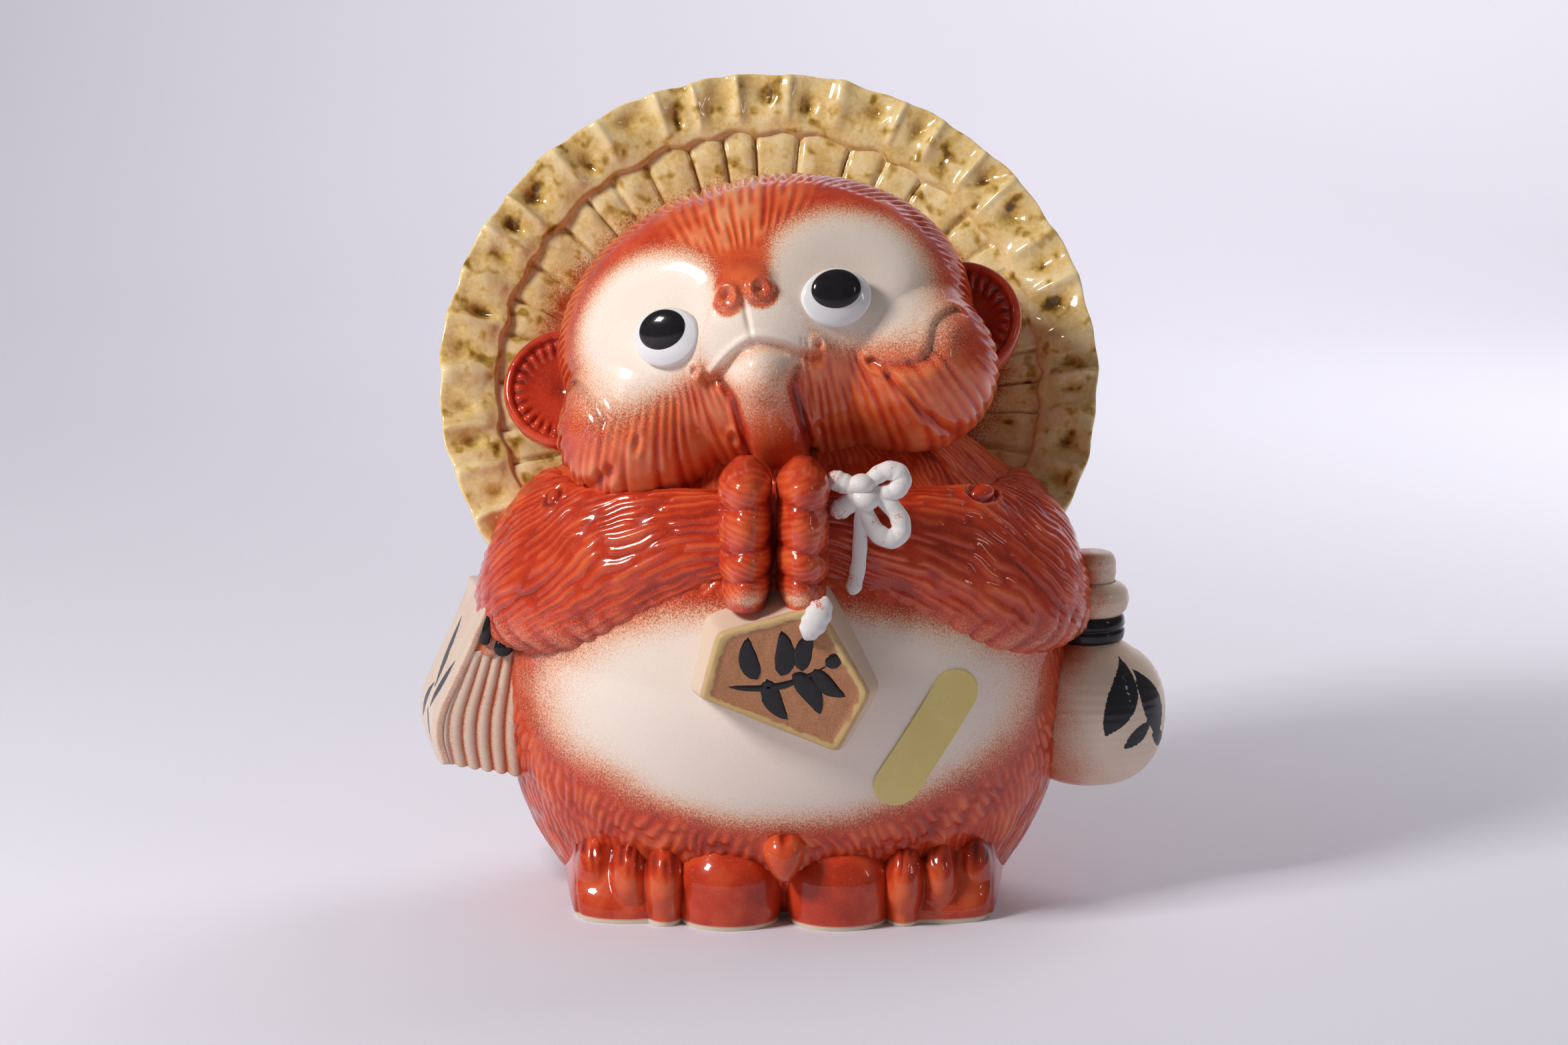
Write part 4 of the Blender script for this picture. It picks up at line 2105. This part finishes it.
@dataclass
class Flask:
    """Turned flask on the left flank: a round body, a tied neck, a swollen collar and a stopper."""

    bulge_level: float = 60.0
    stand: float = 8.5
    profile: tuple[tuple[float, float], ...] = (
        (0.0, 34.0),
        (7.0, 33.9),
        (11.5, 34.6),
        (18.5, 39.0),
        (23.3, 47.5),
        (24.6, 57.0),
        (23.2, 66.5),
        (18.0, 74.5),
        (11.5, 79.0),
        (9.0, 81.5),
        (8.8, 88.5),
    )
    collar: tuple[tuple[float, float], ...] = (
        (8.0, 87.5),
        (10.3, 88.8),
        (12.2, 92.2),
        (12.3, 95.0),
        (10.6, 98.0),
        (8.0, 99.2),
    )
    stopper: tuple[tuple[float, float], ...] = (
        (7.6, 98.6),
        (8.0, 101.0),
        (8.1, 105.0),
        (7.2, 107.8),
        (4.6, 108.9),
        (0.0, 109.0),
    )
    cord_level: float = 80.0
    cord_height: float = 8.5
    cord_radius: float = 9.4
    cord_stand: float = 1.9
    girth: float = 23.5
    dab_turn: float = 0.84
    dab_curl: float = 0.06
    body_grid: tuple[int, int] = (130, 220)
    small_grid: tuple[int, int] = (50, 140)
    cord_grid: tuple[int, int] = (180, 60)
    dabs: tuple[tuple[float, float, float, float, float], ...] = (
        (-4.0, 65.0, 0.45, 13.0, 5.2),
        (8.5, 62.0, -0.35, 12.5, 5.2),
        (1.5, 53.0, 0.9, 6.5, 2.6),
        (13.5, 50.0, -1.1, 6.5, 2.4),
    )

    def centre(self) -> float:
        """X of the flask's axis."""
        return TORSO.at(self.bulge_level)[0] + self.stand

    def turned(
        self, profile: tuple[tuple[float, float], ...], rows: int, columns: int, throw: float
    ) -> tuple[Floats, Floats, Floats]:
        """A profile splined along its own length and turned round the axis, with faint throwing rings.

        Args:
            profile: Radius and height of each point of the profile.
            rows: Points along it.
            columns: Points round it.
            throw: Height of the throwing rings.

        Returns:
            The points, their angles and their heights.
        """
        knots = np.array(profile)
        run = run_along(knots)
        curve = spline(run, knots, np.linspace(0.0, run[-1], rows))
        turn = full_turn(columns)
        across, level = curve[:, :1], curve[:, 1:]
        radius = np.maximum(across, 0.0) + throw * np.sin(level * 2.1) * smoothstep(0.0, 3.0, across)
        points = joined(self.centre() + radius * np.cos(turn), radius * np.sin(turn), level)
        for row in (0, -1):
            if curve[row, 0] < 0.05:
                points[row] = points[row].mean(axis=0)
        return points, turn, level

    def body(self) -> Patch:
        """The body, blushed towards the arm and the ground, with brushed leaf dabs on its outer front.

        Returns:
            The body's surface.
        """
        points, turn, level = self.turned(self.profile, *self.body_grid, 0.05)
        toward = -np.cos(turn) - 0.3 * np.sin(turn)
        sprayed = smoothstep(0.1, 1.1, toward + 0.25 * grain(points, 14.0, 121))
        blush = 0.85 * sprayed + 0.3 * smoothstep(70.0, 80.0, level)
        blush = blush + 0.25 * (1.0 - smoothstep(36.0, 46.0, level))
        side = (turn - TURN * self.dab_turn + math.pi) % TURN - math.pi
        ink = brushed(self.dabs, side * self.girth, level, self.dab_curl)
        return Patch(points, tints={Tint.BLUSH: blush, Tint.INK: ink})

    def cord(self) -> list[Patch]:
        """A flat band of cord round the neck: a rounded section, parted by a groove along its middle.

        Returns:
            The band's one surface, in a list.
        """
        swing = full_turn(self.cord_grid[0]).T
        around = full_turn(self.cord_grid[1])
        groove = bell(np.sin(around), 0.12) * (np.cos(around) > 0.0)
        rounded = blunted(np.cos(around), 0.5)
        radius = self.cord_radius + self.cord_stand * (rounded - 0.45 * groove) + 0.12 * np.sin(3.0 * swing)
        middle = self.cord_level + self.cord_height / 2 + 0.35 * np.sin(swing + 1.0)
        level = middle + self.cord_height / 2 * np.sin(around)
        points = joined(self.centre() + radius * np.cos(swing), radius * np.sin(swing), level)
        return [Patch(points, wrap_rows=True)]

    def build(self, finishes: Finishes) -> None:
        """Makes the body, cord, collar and stopper.

        Args:
            finishes: The figure's finishes.
        """
        make_piece("flask_turned_body", [self.body()], finishes.cream, "flask_body")
        make_piece("flask_neck_cord", self.cord(), finishes.black, "flask_cord")
        for name, profile in (("flask_collar", self.collar), ("flask_stopper", self.stopper)):
            points, turn, _ = self.turned(profile, *self.small_grid, 0.06)
            toward = -np.cos(turn) - 0.3 * np.sin(turn) + 0.4 * grain(points, 6.0, 123)
            blush = 0.8 * smoothstep(-0.3, 0.9, toward) + 0.2
            make_piece(f"{name}_turned", [Patch(points, tints={Tint.BLUSH: blush})], finishes.cream, name)


@dataclass
class Passbook:
    """Account book on the right flank: fanned pages under a slanting cover, bound and corded at its top."""

    top: float = 97.0
    top_stand: float = 8.0
    binding: float = 16.0
    edge_level: float = 58.0
    edge_stand: float = 26.5
    low_level: float = 45.0
    low_stand: float = 24.0
    sag: float = 8.0
    depth: float = 42.0
    cover: float = 3.5
    turn: float = 12.0
    buried: float = -16.0
    ribs: int = 8
    rib_height: float = 0.9
    folds: int = 3
    fold_height: float = 1.8
    section: tuple[int, ...] = (110, 34, 110, 12)
    block_rows: int = 72
    squareness: float = 0.3
    girth_steps: int = 4001
    plate_grid: tuple[int, int] = (96, 220)
    band_grid: tuple[int, int] = (70, 24)
    drop_grid: tuple[int, int] = (50, 30)
    dabs: tuple[tuple[float, float, float, float, float], ...] = (
        (3.0, 76.0, 0.35, 12.0, 3.0),
        (-8.0, 68.0, -0.5, 10.0, 2.6),
        (7.0, 60.0, -0.6, 8.0, 2.4),
        (-4.0, 54.0, 0.7, 7.0, 2.2),
    )

    def out(self, away: Floats, level: Floats, along: Floats) -> Floats:
        """Carries places given by distance from the flank, height and distance aft to the figure's axes.

        Args:
            away: Distances from the flank.
            level: Heights.
            along: Distances aft.

        Returns:
            The places.
        """
        turn = math.radians(self.turn)
        flank = TORSO.at(self.edge_level)[0]
        x = -flank - away * math.cos(turn) - along * math.sin(turn)
        y = -away * math.sin(turn) + along * math.cos(turn)
        return joined(x, y, level)

    def edge(self, level: Floats) -> Floats:
        """How far the cover's outer face stands from the flank at a height.

        Args:
            level: The heights.

        Returns:
            The distances.
        """
        knots = np.array([self.low_level - self.sag, self.low_level, self.edge_level, self.top])
        stands = np.array([self.low_stand - 3.0, self.low_stand, self.edge_stand, self.top_stand])
        steps = (-6.0, -3.0, 0.0, 3.0, 6.0)
        return np.mean([np.interp(level + step, knots, stands) for step in steps], axis=0)

    def loop(self) -> tuple[Floats, Floats, Floats]:
        """Shares round a block's level section: how far out, how far aft, and how near the ribbed sides.

        Returns:
            The three shares at each place of the section.
        """
        sides = [np.linspace(0.0, 1.0, count, endpoint=False) + k for k, count in enumerate(self.section)]
        run = np.concatenate(sides)
        corners = np.arange(len(self.section) + 1.0)
        reach = np.interp(run, corners, [0.0, 1.0, 1.0, 0.0, 0.0])
        fore = np.interp(run, corners, [-1.0, -1.0, 1.0, 1.0, -1.0])
        open_side = (run < 1.0) | ((run >= 2.0) & (run < 3.0))
        ribbed = np.where(open_side, np.sin(math.pi * (run % 1.0)) ** 0.2, 0.0)
        return reach[None, :], fore[None, :], ribbed[None, :]

    def block(self, high: float, low: float, ribs: float, tall: float, red: float) -> Patch:
        """Sections stacked between two heights, with ribs that fan out downwards on the two open sides.

        Args:
            high: Upper height.
            low: Lower height at the outer edge.
            ribs: Number of ribs across a side.
            tall: Height of the ribs.
            red: Share of red spray all over.

        Returns:
            The block's surface.
        """
        share = even_shares(self.block_rows)
        reach, fore, ribbed = self.loop()
        level = high + share * (low - high) + 0.0 * reach
        away = self.buried + reach * (self.edge(level) - self.cover - self.buried + 0.6)
        droop = self.sag * share * (1.0 - reach) * (1.0 if low < self.edge_level else 0.0)
        wave = np.abs(np.sin(math.pi * ribs * (reach**1.15 + 0.05 * np.sin(2.0 * share))))
        swell = ribbed * tall * (wave**0.8 - 0.5) * smoothstep(0.0, 0.1, share)
        along = fore * (self.depth / 2 + swell)
        points = self.out(away, level - droop - 1.2 * share * swell, along)
        blush = red + ribbed * (0.95 * (1.0 - wave) ** 1.6) + 0.45 * (1.0 - reach) ** 2
        blush = blush + 0.12 * grain(points, 9.0, 131)
        points = closed_ends(points, points[0].mean(axis=0), points[-1].mean(axis=0))
        return Patch(points, tints={Tint.BLUSH: with_ends(blush)})

    def even_turns(self, count: int) -> Floats:
        """Turns round the cover's flattened section that part its girth into equal lengths.

        Args:
            count: Number of turns.

        Returns:
            The turns in radians.
        """
        turns = np.linspace(0.0, TURN, self.girth_steps)
        corner = [blunted(wave, self.squareness) for wave in (np.cos(turns), np.sin(turns))]
        step = np.hypot(np.diff(corner[0]) * self.depth, np.diff(corner[1]) * self.cover)
        girth = np.concatenate([[0.0], np.cumsum(step)])
        return np.interp(np.linspace(0.0, girth[-1], count, endpoint=False), girth, turns)

    def plate(self) -> Patch:
        """The cover: a rounded plate that follows the slanting face, with brushed dabs on its outside.

        Returns:
            The cover's surface.
        """
        share = even_shares(self.plate_grid[0])
        spin = self.even_turns(self.plate_grid[1])[None, :]
        level = self.top + share * (self.low_level - self.top) + 0.0 * spin
        flat_cos, flat_sin = (blunted(wave, self.squareness) for wave in (np.cos(spin), np.sin(spin)))
        along = flat_cos * (self.depth / 2 + 0.4)
        uneven = 0.25 * grain(joined(level, along, 0.0), 11.0, 133)
        away = self.edge(level) - self.cover / 2 + self.cover / 2 * flat_sin + uneven
        points = self.out(away, level, along)
        ink = brushed(self.dabs, along, level) * (flat_sin > 0.6)
        blush = 0.22 + 0.2 * (1.0 - np.abs(flat_sin)) + 0.1 * grain(points, 8.0, 135)
        points = closed_ends(points, points[0].mean(axis=0), points[-1].mean(axis=0))
        return Patch(points, tints={Tint.INK: with_ends(ink), Tint.BLUSH: with_ends(blush)})

    def cord(self, route: Floats, radius: float, ease: float, flat: float, grid: tuple[int, int]) -> Patch:
        """One round-ended cord along a route of distances from the flank, heights and distances aft.

        Args:
            route: The places that it passes through.
            radius: Half its width.
            ease: Share of its length over which an end rounds off.
            flat: Its thickness as a share of its width.
            grid: Points along it and round it.

        Returns:
            The cord's surface.
        """
        along, around = grid
        spine = self.out(*capped_path(route, along).T)
        return Patch(tube(spine, radius * capped(along, ease), around, flat))

    def cords(self) -> list[Patch]:
        """Black cord over the binding: two bands pulled over its top and front, and one hanging drop.

        Returns:
            The bands' surfaces, then the drop's.
        """
        bands = []
        front = -self.depth / 2 - 0.4
        for away, level, fall in ((1.5, 94.0, 7.0), (6.5, 92.0, 9.0)):
            route = np.array(
                [
                    [away - 3.0, level + 3.4, front + 8.0],
                    [away - 1.5, level + 3.2, front + 1.0],
                    [away + 0.6, level, front - 0.9],
                    [away + 3.0, level - fall, front - 0.7],
                ]
            )
            bands.append(self.cord(route, 1.6, 0.08, 0.7, self.band_grid))
        hang = np.array([[1.0, 85.5, front - 0.7], [3.0, 82.6, front - 1.1], [6.0, 80.4, front - 0.9]])
        return [*bands, self.cord(hang, 2.9, 0.45, 0.5, self.drop_grid)]

    def build(self, finishes: Finishes) -> None:
        """Makes the pages, binding, cover and cord.

        Args:
            finishes: The figure's finishes.
        """
        bind = self.top - self.binding
        pages = self.block(bind, self.low_level, self.ribs, self.rib_height, 0.12)
        folds = self.block(self.top, bind - 0.5, self.folds, self.fold_height, 0.7)
        for name, patch, node in (
            ("passbook_fanned_pages", pages, "passbook_pages"),
            ("passbook_folded_binding", folds, "passbook_binding"),
            ("passbook_brushed_cover", self.plate(), "passbook_cover"),
        ):
            make_piece(name, [patch], finishes.cream, node)
        make_piece("passbook_binding_cord", self.cords(), finishes.black)


@dataclass
class Feet:
    """Two feet of three toes on an instep, two money bags with a knot between them, and the tail.

    Sizes are width, depth and height; a comb is the pitch and length of its strokes.
    """

    spacing: float = 96.0
    toe: Triple = (13.5, 18.0, 26.0)
    toe_spacing: float = 11.0
    toe_stand: float = 2.6
    sunk: float = 1.8
    height: float = 31.0
    half_width: float = 27.0
    inset: float = 1.5
    foot_comb: tuple[float, float] = (2.9, 11.0)
    tail_comb: tuple[float, float] = (3.1, 15.0)
    foot_grid: tuple[int, int] = (110, 190)
    instep: Triple = (34.0, 15.0, 24.0)
    hip_level: float = 16.0
    dive: float = 34.0
    bag: Triple = (34.0, 32.0, 29.0)
    bag_level: float = 13.0
    bag_stand: float = -4.5
    knot: Triple = (14.0, 14.0, 16.0)
    knot_level: float = 24.0
    tail: Triple = (36.0, 30.0, 58.0)
    tail_across: float = 14.0
    tail_level: float = 38.0
    tail_turn: float = -24.0
    bag_grid: tuple[int, int] = (96, 140)
    knot_grid: tuple[int, int] = (80, 110)
    tail_grid: tuple[int, int] = (150, 190)

    def foot(self, side: Side) -> Patch:
        """One foot as a front relief: the nearest of several half-eggs, blended by rounded maxima.

        Args:
            side: Which foot.

        Returns:
            The foot's surface.
        """
        middle = side.value * self.spacing / 2
        level = np.linspace(0.0, self.height, self.foot_grid[0])[:, None]
        limit = TORSO.spread(level)[0] - self.inset
        asked = (middle + np.linspace(-self.half_width, self.half_width, self.foot_grid[1]))[None, :]
        across = np.clip(asked, -limit, limit)
        trunk = -TORSO.front_face(across, level)
        depth = trunk - self.sunk
        toes = [(middle, self.instep)] + [(middle + step * self.toe_spacing, self.toe) for step in (-1, 0, 1)]
        between = np.zeros_like(depth)
        for index, (x, (width, thick, tall)) in enumerate(toes):
            rise = level / (tall / 2) - 1.0
            reach = ((across - x) / (width / 2)) ** 2 + np.where(rise < 0.0, 0.45 * rise, rise) ** 2
            seat = -TORSO.front(x, self.hip_level)
            stand = thick / 2 + (self.toe_stand if index else 0.0)
            form = seat + stand * np.sqrt(np.clip(1.0 - reach, 0.0, 1.0))
            form = form - 16.0 * np.clip(np.sqrt(reach) - 1.0, 0.0, 1.0)
            if index:
                form = form - self.toe_stand * smoothstep(11.0, 3.0, level)
            else:
                form = form + 2.8 * smoothstep(12.0, 3.0, level) - 4.0 * smoothstep(8.0, 17.0, level)
            depth = smooth_max(depth, form, 1.3 if index else 2.5)
            if index:
                between = np.maximum(between, np.clip(1.0 - reach, 0.0, 1.0))
        places = joined(across, level, 0.0)
        bend = grain(places, 7.0, 141)
        strokes = cut_strokes(across + 1.2 * bend, level + 2.0 * bend, *self.foot_comb, 143)
        strokes = strokes * smoothstep(0.5, 2.0, depth - trunk + self.sunk) * smoothstep(13.0, 21.0, level)
        ending = smoothstep(17.0, 25.0, np.abs(asked - middle))
        depth = depth - 0.5 * strokes - self.dive * ending
        points = joined(across, -depth, level)
        sole = points[:1].copy()
        sole[..., 1] += 14.0
        relief = 0.34 + 0.24 * between - 0.4 * strokes + 0.08 * bend
        clay = 1.0 - smoothstep(1.1, 1.8, level + 0.3 * bend)
        shares = {Tint.RELIEF: relief, Tint.INK: clay}
        tints = {tint: np.concatenate([value[:1], value]) for tint, value in shares.items()}
        return Patch(np.concatenate([sole, points]), wrap=False, tints=tints, inside=(middle, 0.0, 12.0))

    def egg(self, size: Triple, rows: int, columns: int) -> tuple[Floats, Floats, Floats]:
        """A unit egg's points scaled to a size, with its polar and round-about angles; poles up and down.

        Args:
            size: Width, depth and height.
            rows: Points from pole to pole.
            columns: Points round it.

        Returns:
            The points, the polar angles and the round-about angles.
        """
        swing = np.linspace(0.0, math.pi, rows)[:, None]
        turn = full_turn(columns)
        flat = np.sin(swing)
        wide, deep, tall = size
        around = (flat * np.cos(turn) * wide / 2, flat * np.sin(turn) * deep / 2)
        return joined(*around, np.cos(swing) * tall / 2), swing, turn

    def money_bag(self, side: Side) -> Patch:
        """One bag: an egg flattened on the ground, with shallow gathers that run down from its tied top.

        Args:
            side: Which bag.

        Returns:
            The bag's surface.
        """
        points, swing, turn = self.egg(self.bag, *self.bag_grid)
        gather = np.sin(9.0 * turn + 1.5 * np.sin(2.0 * turn)) * bell(swing, 0.75)
        points = points * (1.0 + 0.035 * gather + 0.008 * grain(points, 9.0, 151 + side.value))[..., None]
        front = TORSO.front(self.bag[0] / 2, self.bag_level)
        seat = np.array([side.value * self.bag[0] / 2, front - self.bag_stand, self.bag_level])
        girth = np.hypot(points[..., 0] / self.bag[0], points[..., 1] / self.bag[1]) * 2.0
        low = (points[..., 2] < 0.0) & (girth > 0.4)
        tuck = 1.0 - 0.1 * (points[..., 2] / self.bag_level) ** 2
        points[..., :2] *= np.where(low, tuck / np.maximum(girth, 0.4), 1.0)[..., None]
        points = points + seat
        clay = 1.0 - smoothstep(1.1, 1.8, points[..., 2])
        points[..., 2] = np.maximum(points[..., 2], 0.0)
        relief = 0.40 + 0.2 * gather + 0.14 * smoothstep(1.2, 0.5, swing) + 0.07 * grain(points, 7.0, 153)
        return Patch(points, tints={Tint.RELIEF: relief, Tint.INK: clay})

    def bag_knot(self) -> Patch:
        """The knot: an egg drawn in below and parted by a soft groove down its front.

        Returns:
            The knot's surface.
        """
        points, swing, _ = self.egg(self.knot, *self.knot_grid)
        waist = 1.0 - 0.32 * smoothstep(0.9, 2.6, swing)
        points[..., 0] *= waist
        notch = bell(points[..., 0], 1.5) * smoothstep(1.5, 0.4, swing)
        points[..., 2] -= 1.6 * notch
        points = points + [0.0, TORSO.front(0.0, self.knot_level) - self.knot[1] / 4, self.knot_level]
        return Patch(points, tints={Tint.RELIEF: 0.56 - 0.3 * notch + 0.08 * grain(points, 5.0, 157)})

    def tail_form(self) -> Patch:
        """The tail: an egg laid aslant on the lower back, combed along its length into locks.

        Returns:
            The tail's surface.
        """
        points, swing, turn = self.egg(self.tail, *self.tail_grid)
        girth = 15.0 * turn + 2.2 * grain(points, 12.0, 161)
        strokes = cut_strokes(girth, swing * 22.0, *self.tail_comb, 163) * np.sin(swing) ** 0.3
        locks = grain(joined(girth, swing * 9.0, 0.0), 6.0, 165)
        worked = (0.04 * locks - 0.055 * strokes) * smoothstep(0.0, 0.3, np.sin(swing))
        points = points * (1.0 + worked)[..., None]
        lean = math.radians(self.tail_turn)
        along = np.array([math.sin(lean), 0.0, math.cos(lean)])
        wide = np.array([math.cos(lean), 0.0, -math.sin(lean)])
        deep = np.array([0.0, 1.0, 0.0])
        local = points[..., :1] * wide + points[..., 1:2] * deep + points[..., 2:] * along
        _, half_depth, centre = TORSO.at(self.tail_level)
        seat = [self.tail_across, half_depth + centre, self.tail_level]
        return Patch(local + seat, tints={Tint.RELIEF: 0.46 + 0.2 * locks - 0.28 * strokes})

    def build(self, finishes: Finishes) -> None:
        """Makes the feet, the bags, their knot and the tail.

        Args:
            finishes: The figure's finishes.
        """
        for side in Side:
            foot, bag = [self.foot(side)], [self.money_bag(side)]
            make_piece(f"{side.label}_toed_foot", foot, finishes.red, f"{side.label}_foot")
            make_piece(f"{side.label}_gathered_bag", bag, finishes.red, f"{side.label}_money_bag")
        make_piece("money_bag_tied_knot", [self.bag_knot()], finishes.red, "money_bag_knot")
        make_piece("combed_tail", [self.tail_form()], finishes.red, "tail")


@dataclass
class Sticker:
    """Blank yellow paper strip with round ends, stuck aslant over the belly."""

    length: float = 47.0
    width: float = 14.6
    thickness: float = 0.5
    across: float = 43.5
    level: float = 61.0
    turn: float = 57.0
    rings: int = 26
    columns: int = 240
    crowding: float = 2.2
    bury: float = 0.4

    def build(self, finishes: Finishes) -> None:
        """Rings shrink the strip's outline to its middle line, and each point lies raised on the belly.

        Args:
            finishes: The figure's finishes.
        """
        run = full_turn(self.columns)
        straight = (self.length - self.width) / 2
        spine = np.clip(self.crowding * straight * np.cos(run), -straight, straight)
        share = np.concatenate([np.linspace(0.0, 1.0, self.rings), [1.0]])[:, None]
        past_end = np.abs(self.crowding * np.cos(run)) >= 1.0
        cap = np.arctan2(np.sin(run), np.cos(run) - np.sign(np.cos(run)) / self.crowding)
        bow = np.where(past_end, cap, np.sign(np.sin(run)) * math.pi / 2)
        flat_x = spine + share * self.width / 2 * np.cos(bow)
        flat_y = share * self.width / 2 * np.sin(bow)
        turn = math.radians(self.turn)
        x = self.across + flat_x * math.cos(turn) - flat_y * math.sin(turn)
        z = self.level + flat_x * math.sin(turn) + flat_y * math.cos(turn)
        lift = np.concatenate([np.full(self.rings, self.thickness), [-self.bury]])[:, None]
        lift = lift + 0.12 * smoothstep(0.8, 1.0, share)
        points = joined(x, TORSO.front_face(x, z) - lift, z)
        strip = Patch(points, inside=(self.across, 0.0, self.level))
        make_piece("blank_paper_strip", [strip], finishes.paper, "sticker")


@dataclass(frozen=True)
class Lamp:
    """One rectangular soft lamp in metres and watts, which shows in the glaze unless it is not mirrored."""

    name: str
    place: Triple
    aim: Triple
    size: tuple[float, float]
    power: float
    colour: Colour
    mirrored: bool = True

    def hang(self) -> None:
        """Puts the lamp in its place, turned towards its aim."""
        light = bpy.data.lights.new(self.name, "AREA")
        light.shape = "RECTANGLE"
        light.size, light.size_y = self.size
        light.energy = self.power
        light.color = self.colour
        lamp = bpy.data.objects.new(self.name, light)
        lamp.location = self.place
        lamp.rotation_euler = (Vector(self.aim) - Vector(self.place)).to_track_quat("-Z", "Y").to_euler()
        lamp.visible_glossy = self.mirrored
        bpy.context.scene.collection.objects.link(lamp)


@dataclass
class Studio:
    """Pale sweep of paper, soft lamps and the camera."""

    aim: Triple = FIGURE_MIDDLE
    distance: float = 1.18
    elevation: float = 10.0
    lens: float = 85.0
    sensor: float = 36.0
    half_width: float = 3000.0
    reach: float = 2400.0
    back: float = 2400.0
    bend: float = 900.0
    bend_steps: int = 24
    columns: int = 3
    beneath: Triple = (0.0, 5000.0, -5000.0)
    air: Colour = (1.0, 0.95, 0.93)
    air_strength: float = 0.13
    paper: Colour = (0.80, 0.78, 0.84)
    lamps: tuple[Lamp, ...] = (
        Lamp("key", (-0.90, -0.56, 0.90), FIGURE_MIDDLE, (0.28, 0.28), 14.5, (1.0, 0.97, 0.94)),
        Lamp("fill", (0.95, -0.45, 0.45), FIGURE_MIDDLE, (0.05, 0.22), 0.3, (1.0, 0.93, 0.86)),
        Lamp("rear", (0.80, 0.85, 0.85), FIGURE_MIDDLE, (0.9, 0.9), 7.5, (1.0, 0.98, 0.97), False),
        Lamp("left_sweep", (1.4, 0.0, 1.3), (2.6, 0.0, 0.0), (1.2, 0.5), 10.0, (1.0, 0.99, 1.0)),
        Lamp("right_sweep", (-1.4, 0.0, 1.3), (-2.6, 0.0, 0.0), (1.2, 0.5), 10.0, (1.0, 0.99, 1.0)),
        Lamp("backdrop", (0.5, 1.5, 1.5), (0.5, 2.4, 0.4), (1.6, 0.5), 18.5, (1.0, 0.96, 0.94)),
    )

    def sweep(self, finishes: Finishes) -> None:
        """Floor that bends up into a backdrop: a straight run, a quarter circle and an upright.

        Args:
            finishes: The figure's finishes.
        """
        bend = np.linspace(0.0, math.pi / 2, self.bend_steps)
        start = self.back - self.bend
        y = np.concatenate([[-self.reach, start], self.back - self.bend * (1.0 - np.sin(bend)), [self.back]])
        z = np.concatenate([[0.0, 0.0], self.bend * (1.0 - np.cos(bend)), [self.reach]])
        across = np.linspace(-self.half_width, self.half_width, self.columns)[None, :]
        points = joined(across, y[:, None], z[:, None])
        patch = Patch(points, wrap=False, inside=self.beneath)
        mesh = bpy.data.meshes.new("studio_sweep")
        mesh.from_pydata((points.reshape(-1, 3) * MM).tolist(), [], patch.quads().tolist())
        mesh.polygons.foreach_set("use_smooth", np.ones(len(mesh.polygons), dtype=bool))
        mesh.materials.append(finishes.studio)
        floor = bpy.data.objects.new("studio_sweep", mesh)
        bpy.context.scene.collection.objects.link(floor)

    def camera(self) -> None:
        """The camera before the figure, a little above its middle and looking slightly down."""
        lens = bpy.data.cameras.new("view")
        lens.lens = self.lens
        lens.sensor_width = self.sensor
        view = bpy.data.objects.new("view", lens)
        rise = math.radians(self.elevation)
        x, y, z = self.aim
        view.location = (x, y - self.distance * math.cos(rise), z + self.distance * math.sin(rise))
        view.rotation_euler = (math.pi / 2 - rise, 0.0, 0.0)
        bpy.context.scene.collection.objects.link(view)
        bpy.context.scene.camera = view

    def build(self, finishes: Finishes) -> None:
        """Sets up the sweep, the lamps, the ambient light and the camera.

        Args:
            finishes: The figure's finishes.
        """
        self.camera()
        self.sweep(finishes)
        for lamp in self.lamps:
            lamp.hang()
        world = bpy.data.worlds.new("studio_air")
        world.use_nodes = True
        tree = world.node_tree
        light = tree.nodes["Background"]
        light.inputs["Color"].default_value = (*self.air, 1.0)
        light.inputs["Strength"].default_value = self.air_strength
        seen = tree.nodes.new("ShaderNodeBackground")
        seen.inputs["Color"].default_value = (*self.paper, 1.0)
        mixed = tree.nodes.new("ShaderNodeMixShader")
        tree.links.new(tree.nodes.new("ShaderNodeLightPath").outputs["Is Camera Ray"], mixed.inputs["Fac"])
        tree.links.new(light.outputs["Background"], mixed.inputs[1])
        tree.links.new(seen.outputs["Background"], mixed.inputs[2])
        tree.links.new(mixed.outputs["Shader"], tree.nodes["World Output"].inputs["Surface"])
        bpy.context.scene.world = world
        bpy.context.scene.view_settings.view_transform = "Standard"


def main() -> None:
    """Builds the studio and every part of the figure."""
    logging.basicConfig(level=logging.INFO, format="%(message)s")
    finishes = Finishes()
    Studio().build(finishes)
    for part in (Body, Arms, Paws, Face, Eyes, Ears, Hat, Plaque, Bow, Flask, Passbook, Feet, Sticker):
        part().build(finishes)


if __name__ == "__main__":
    main()
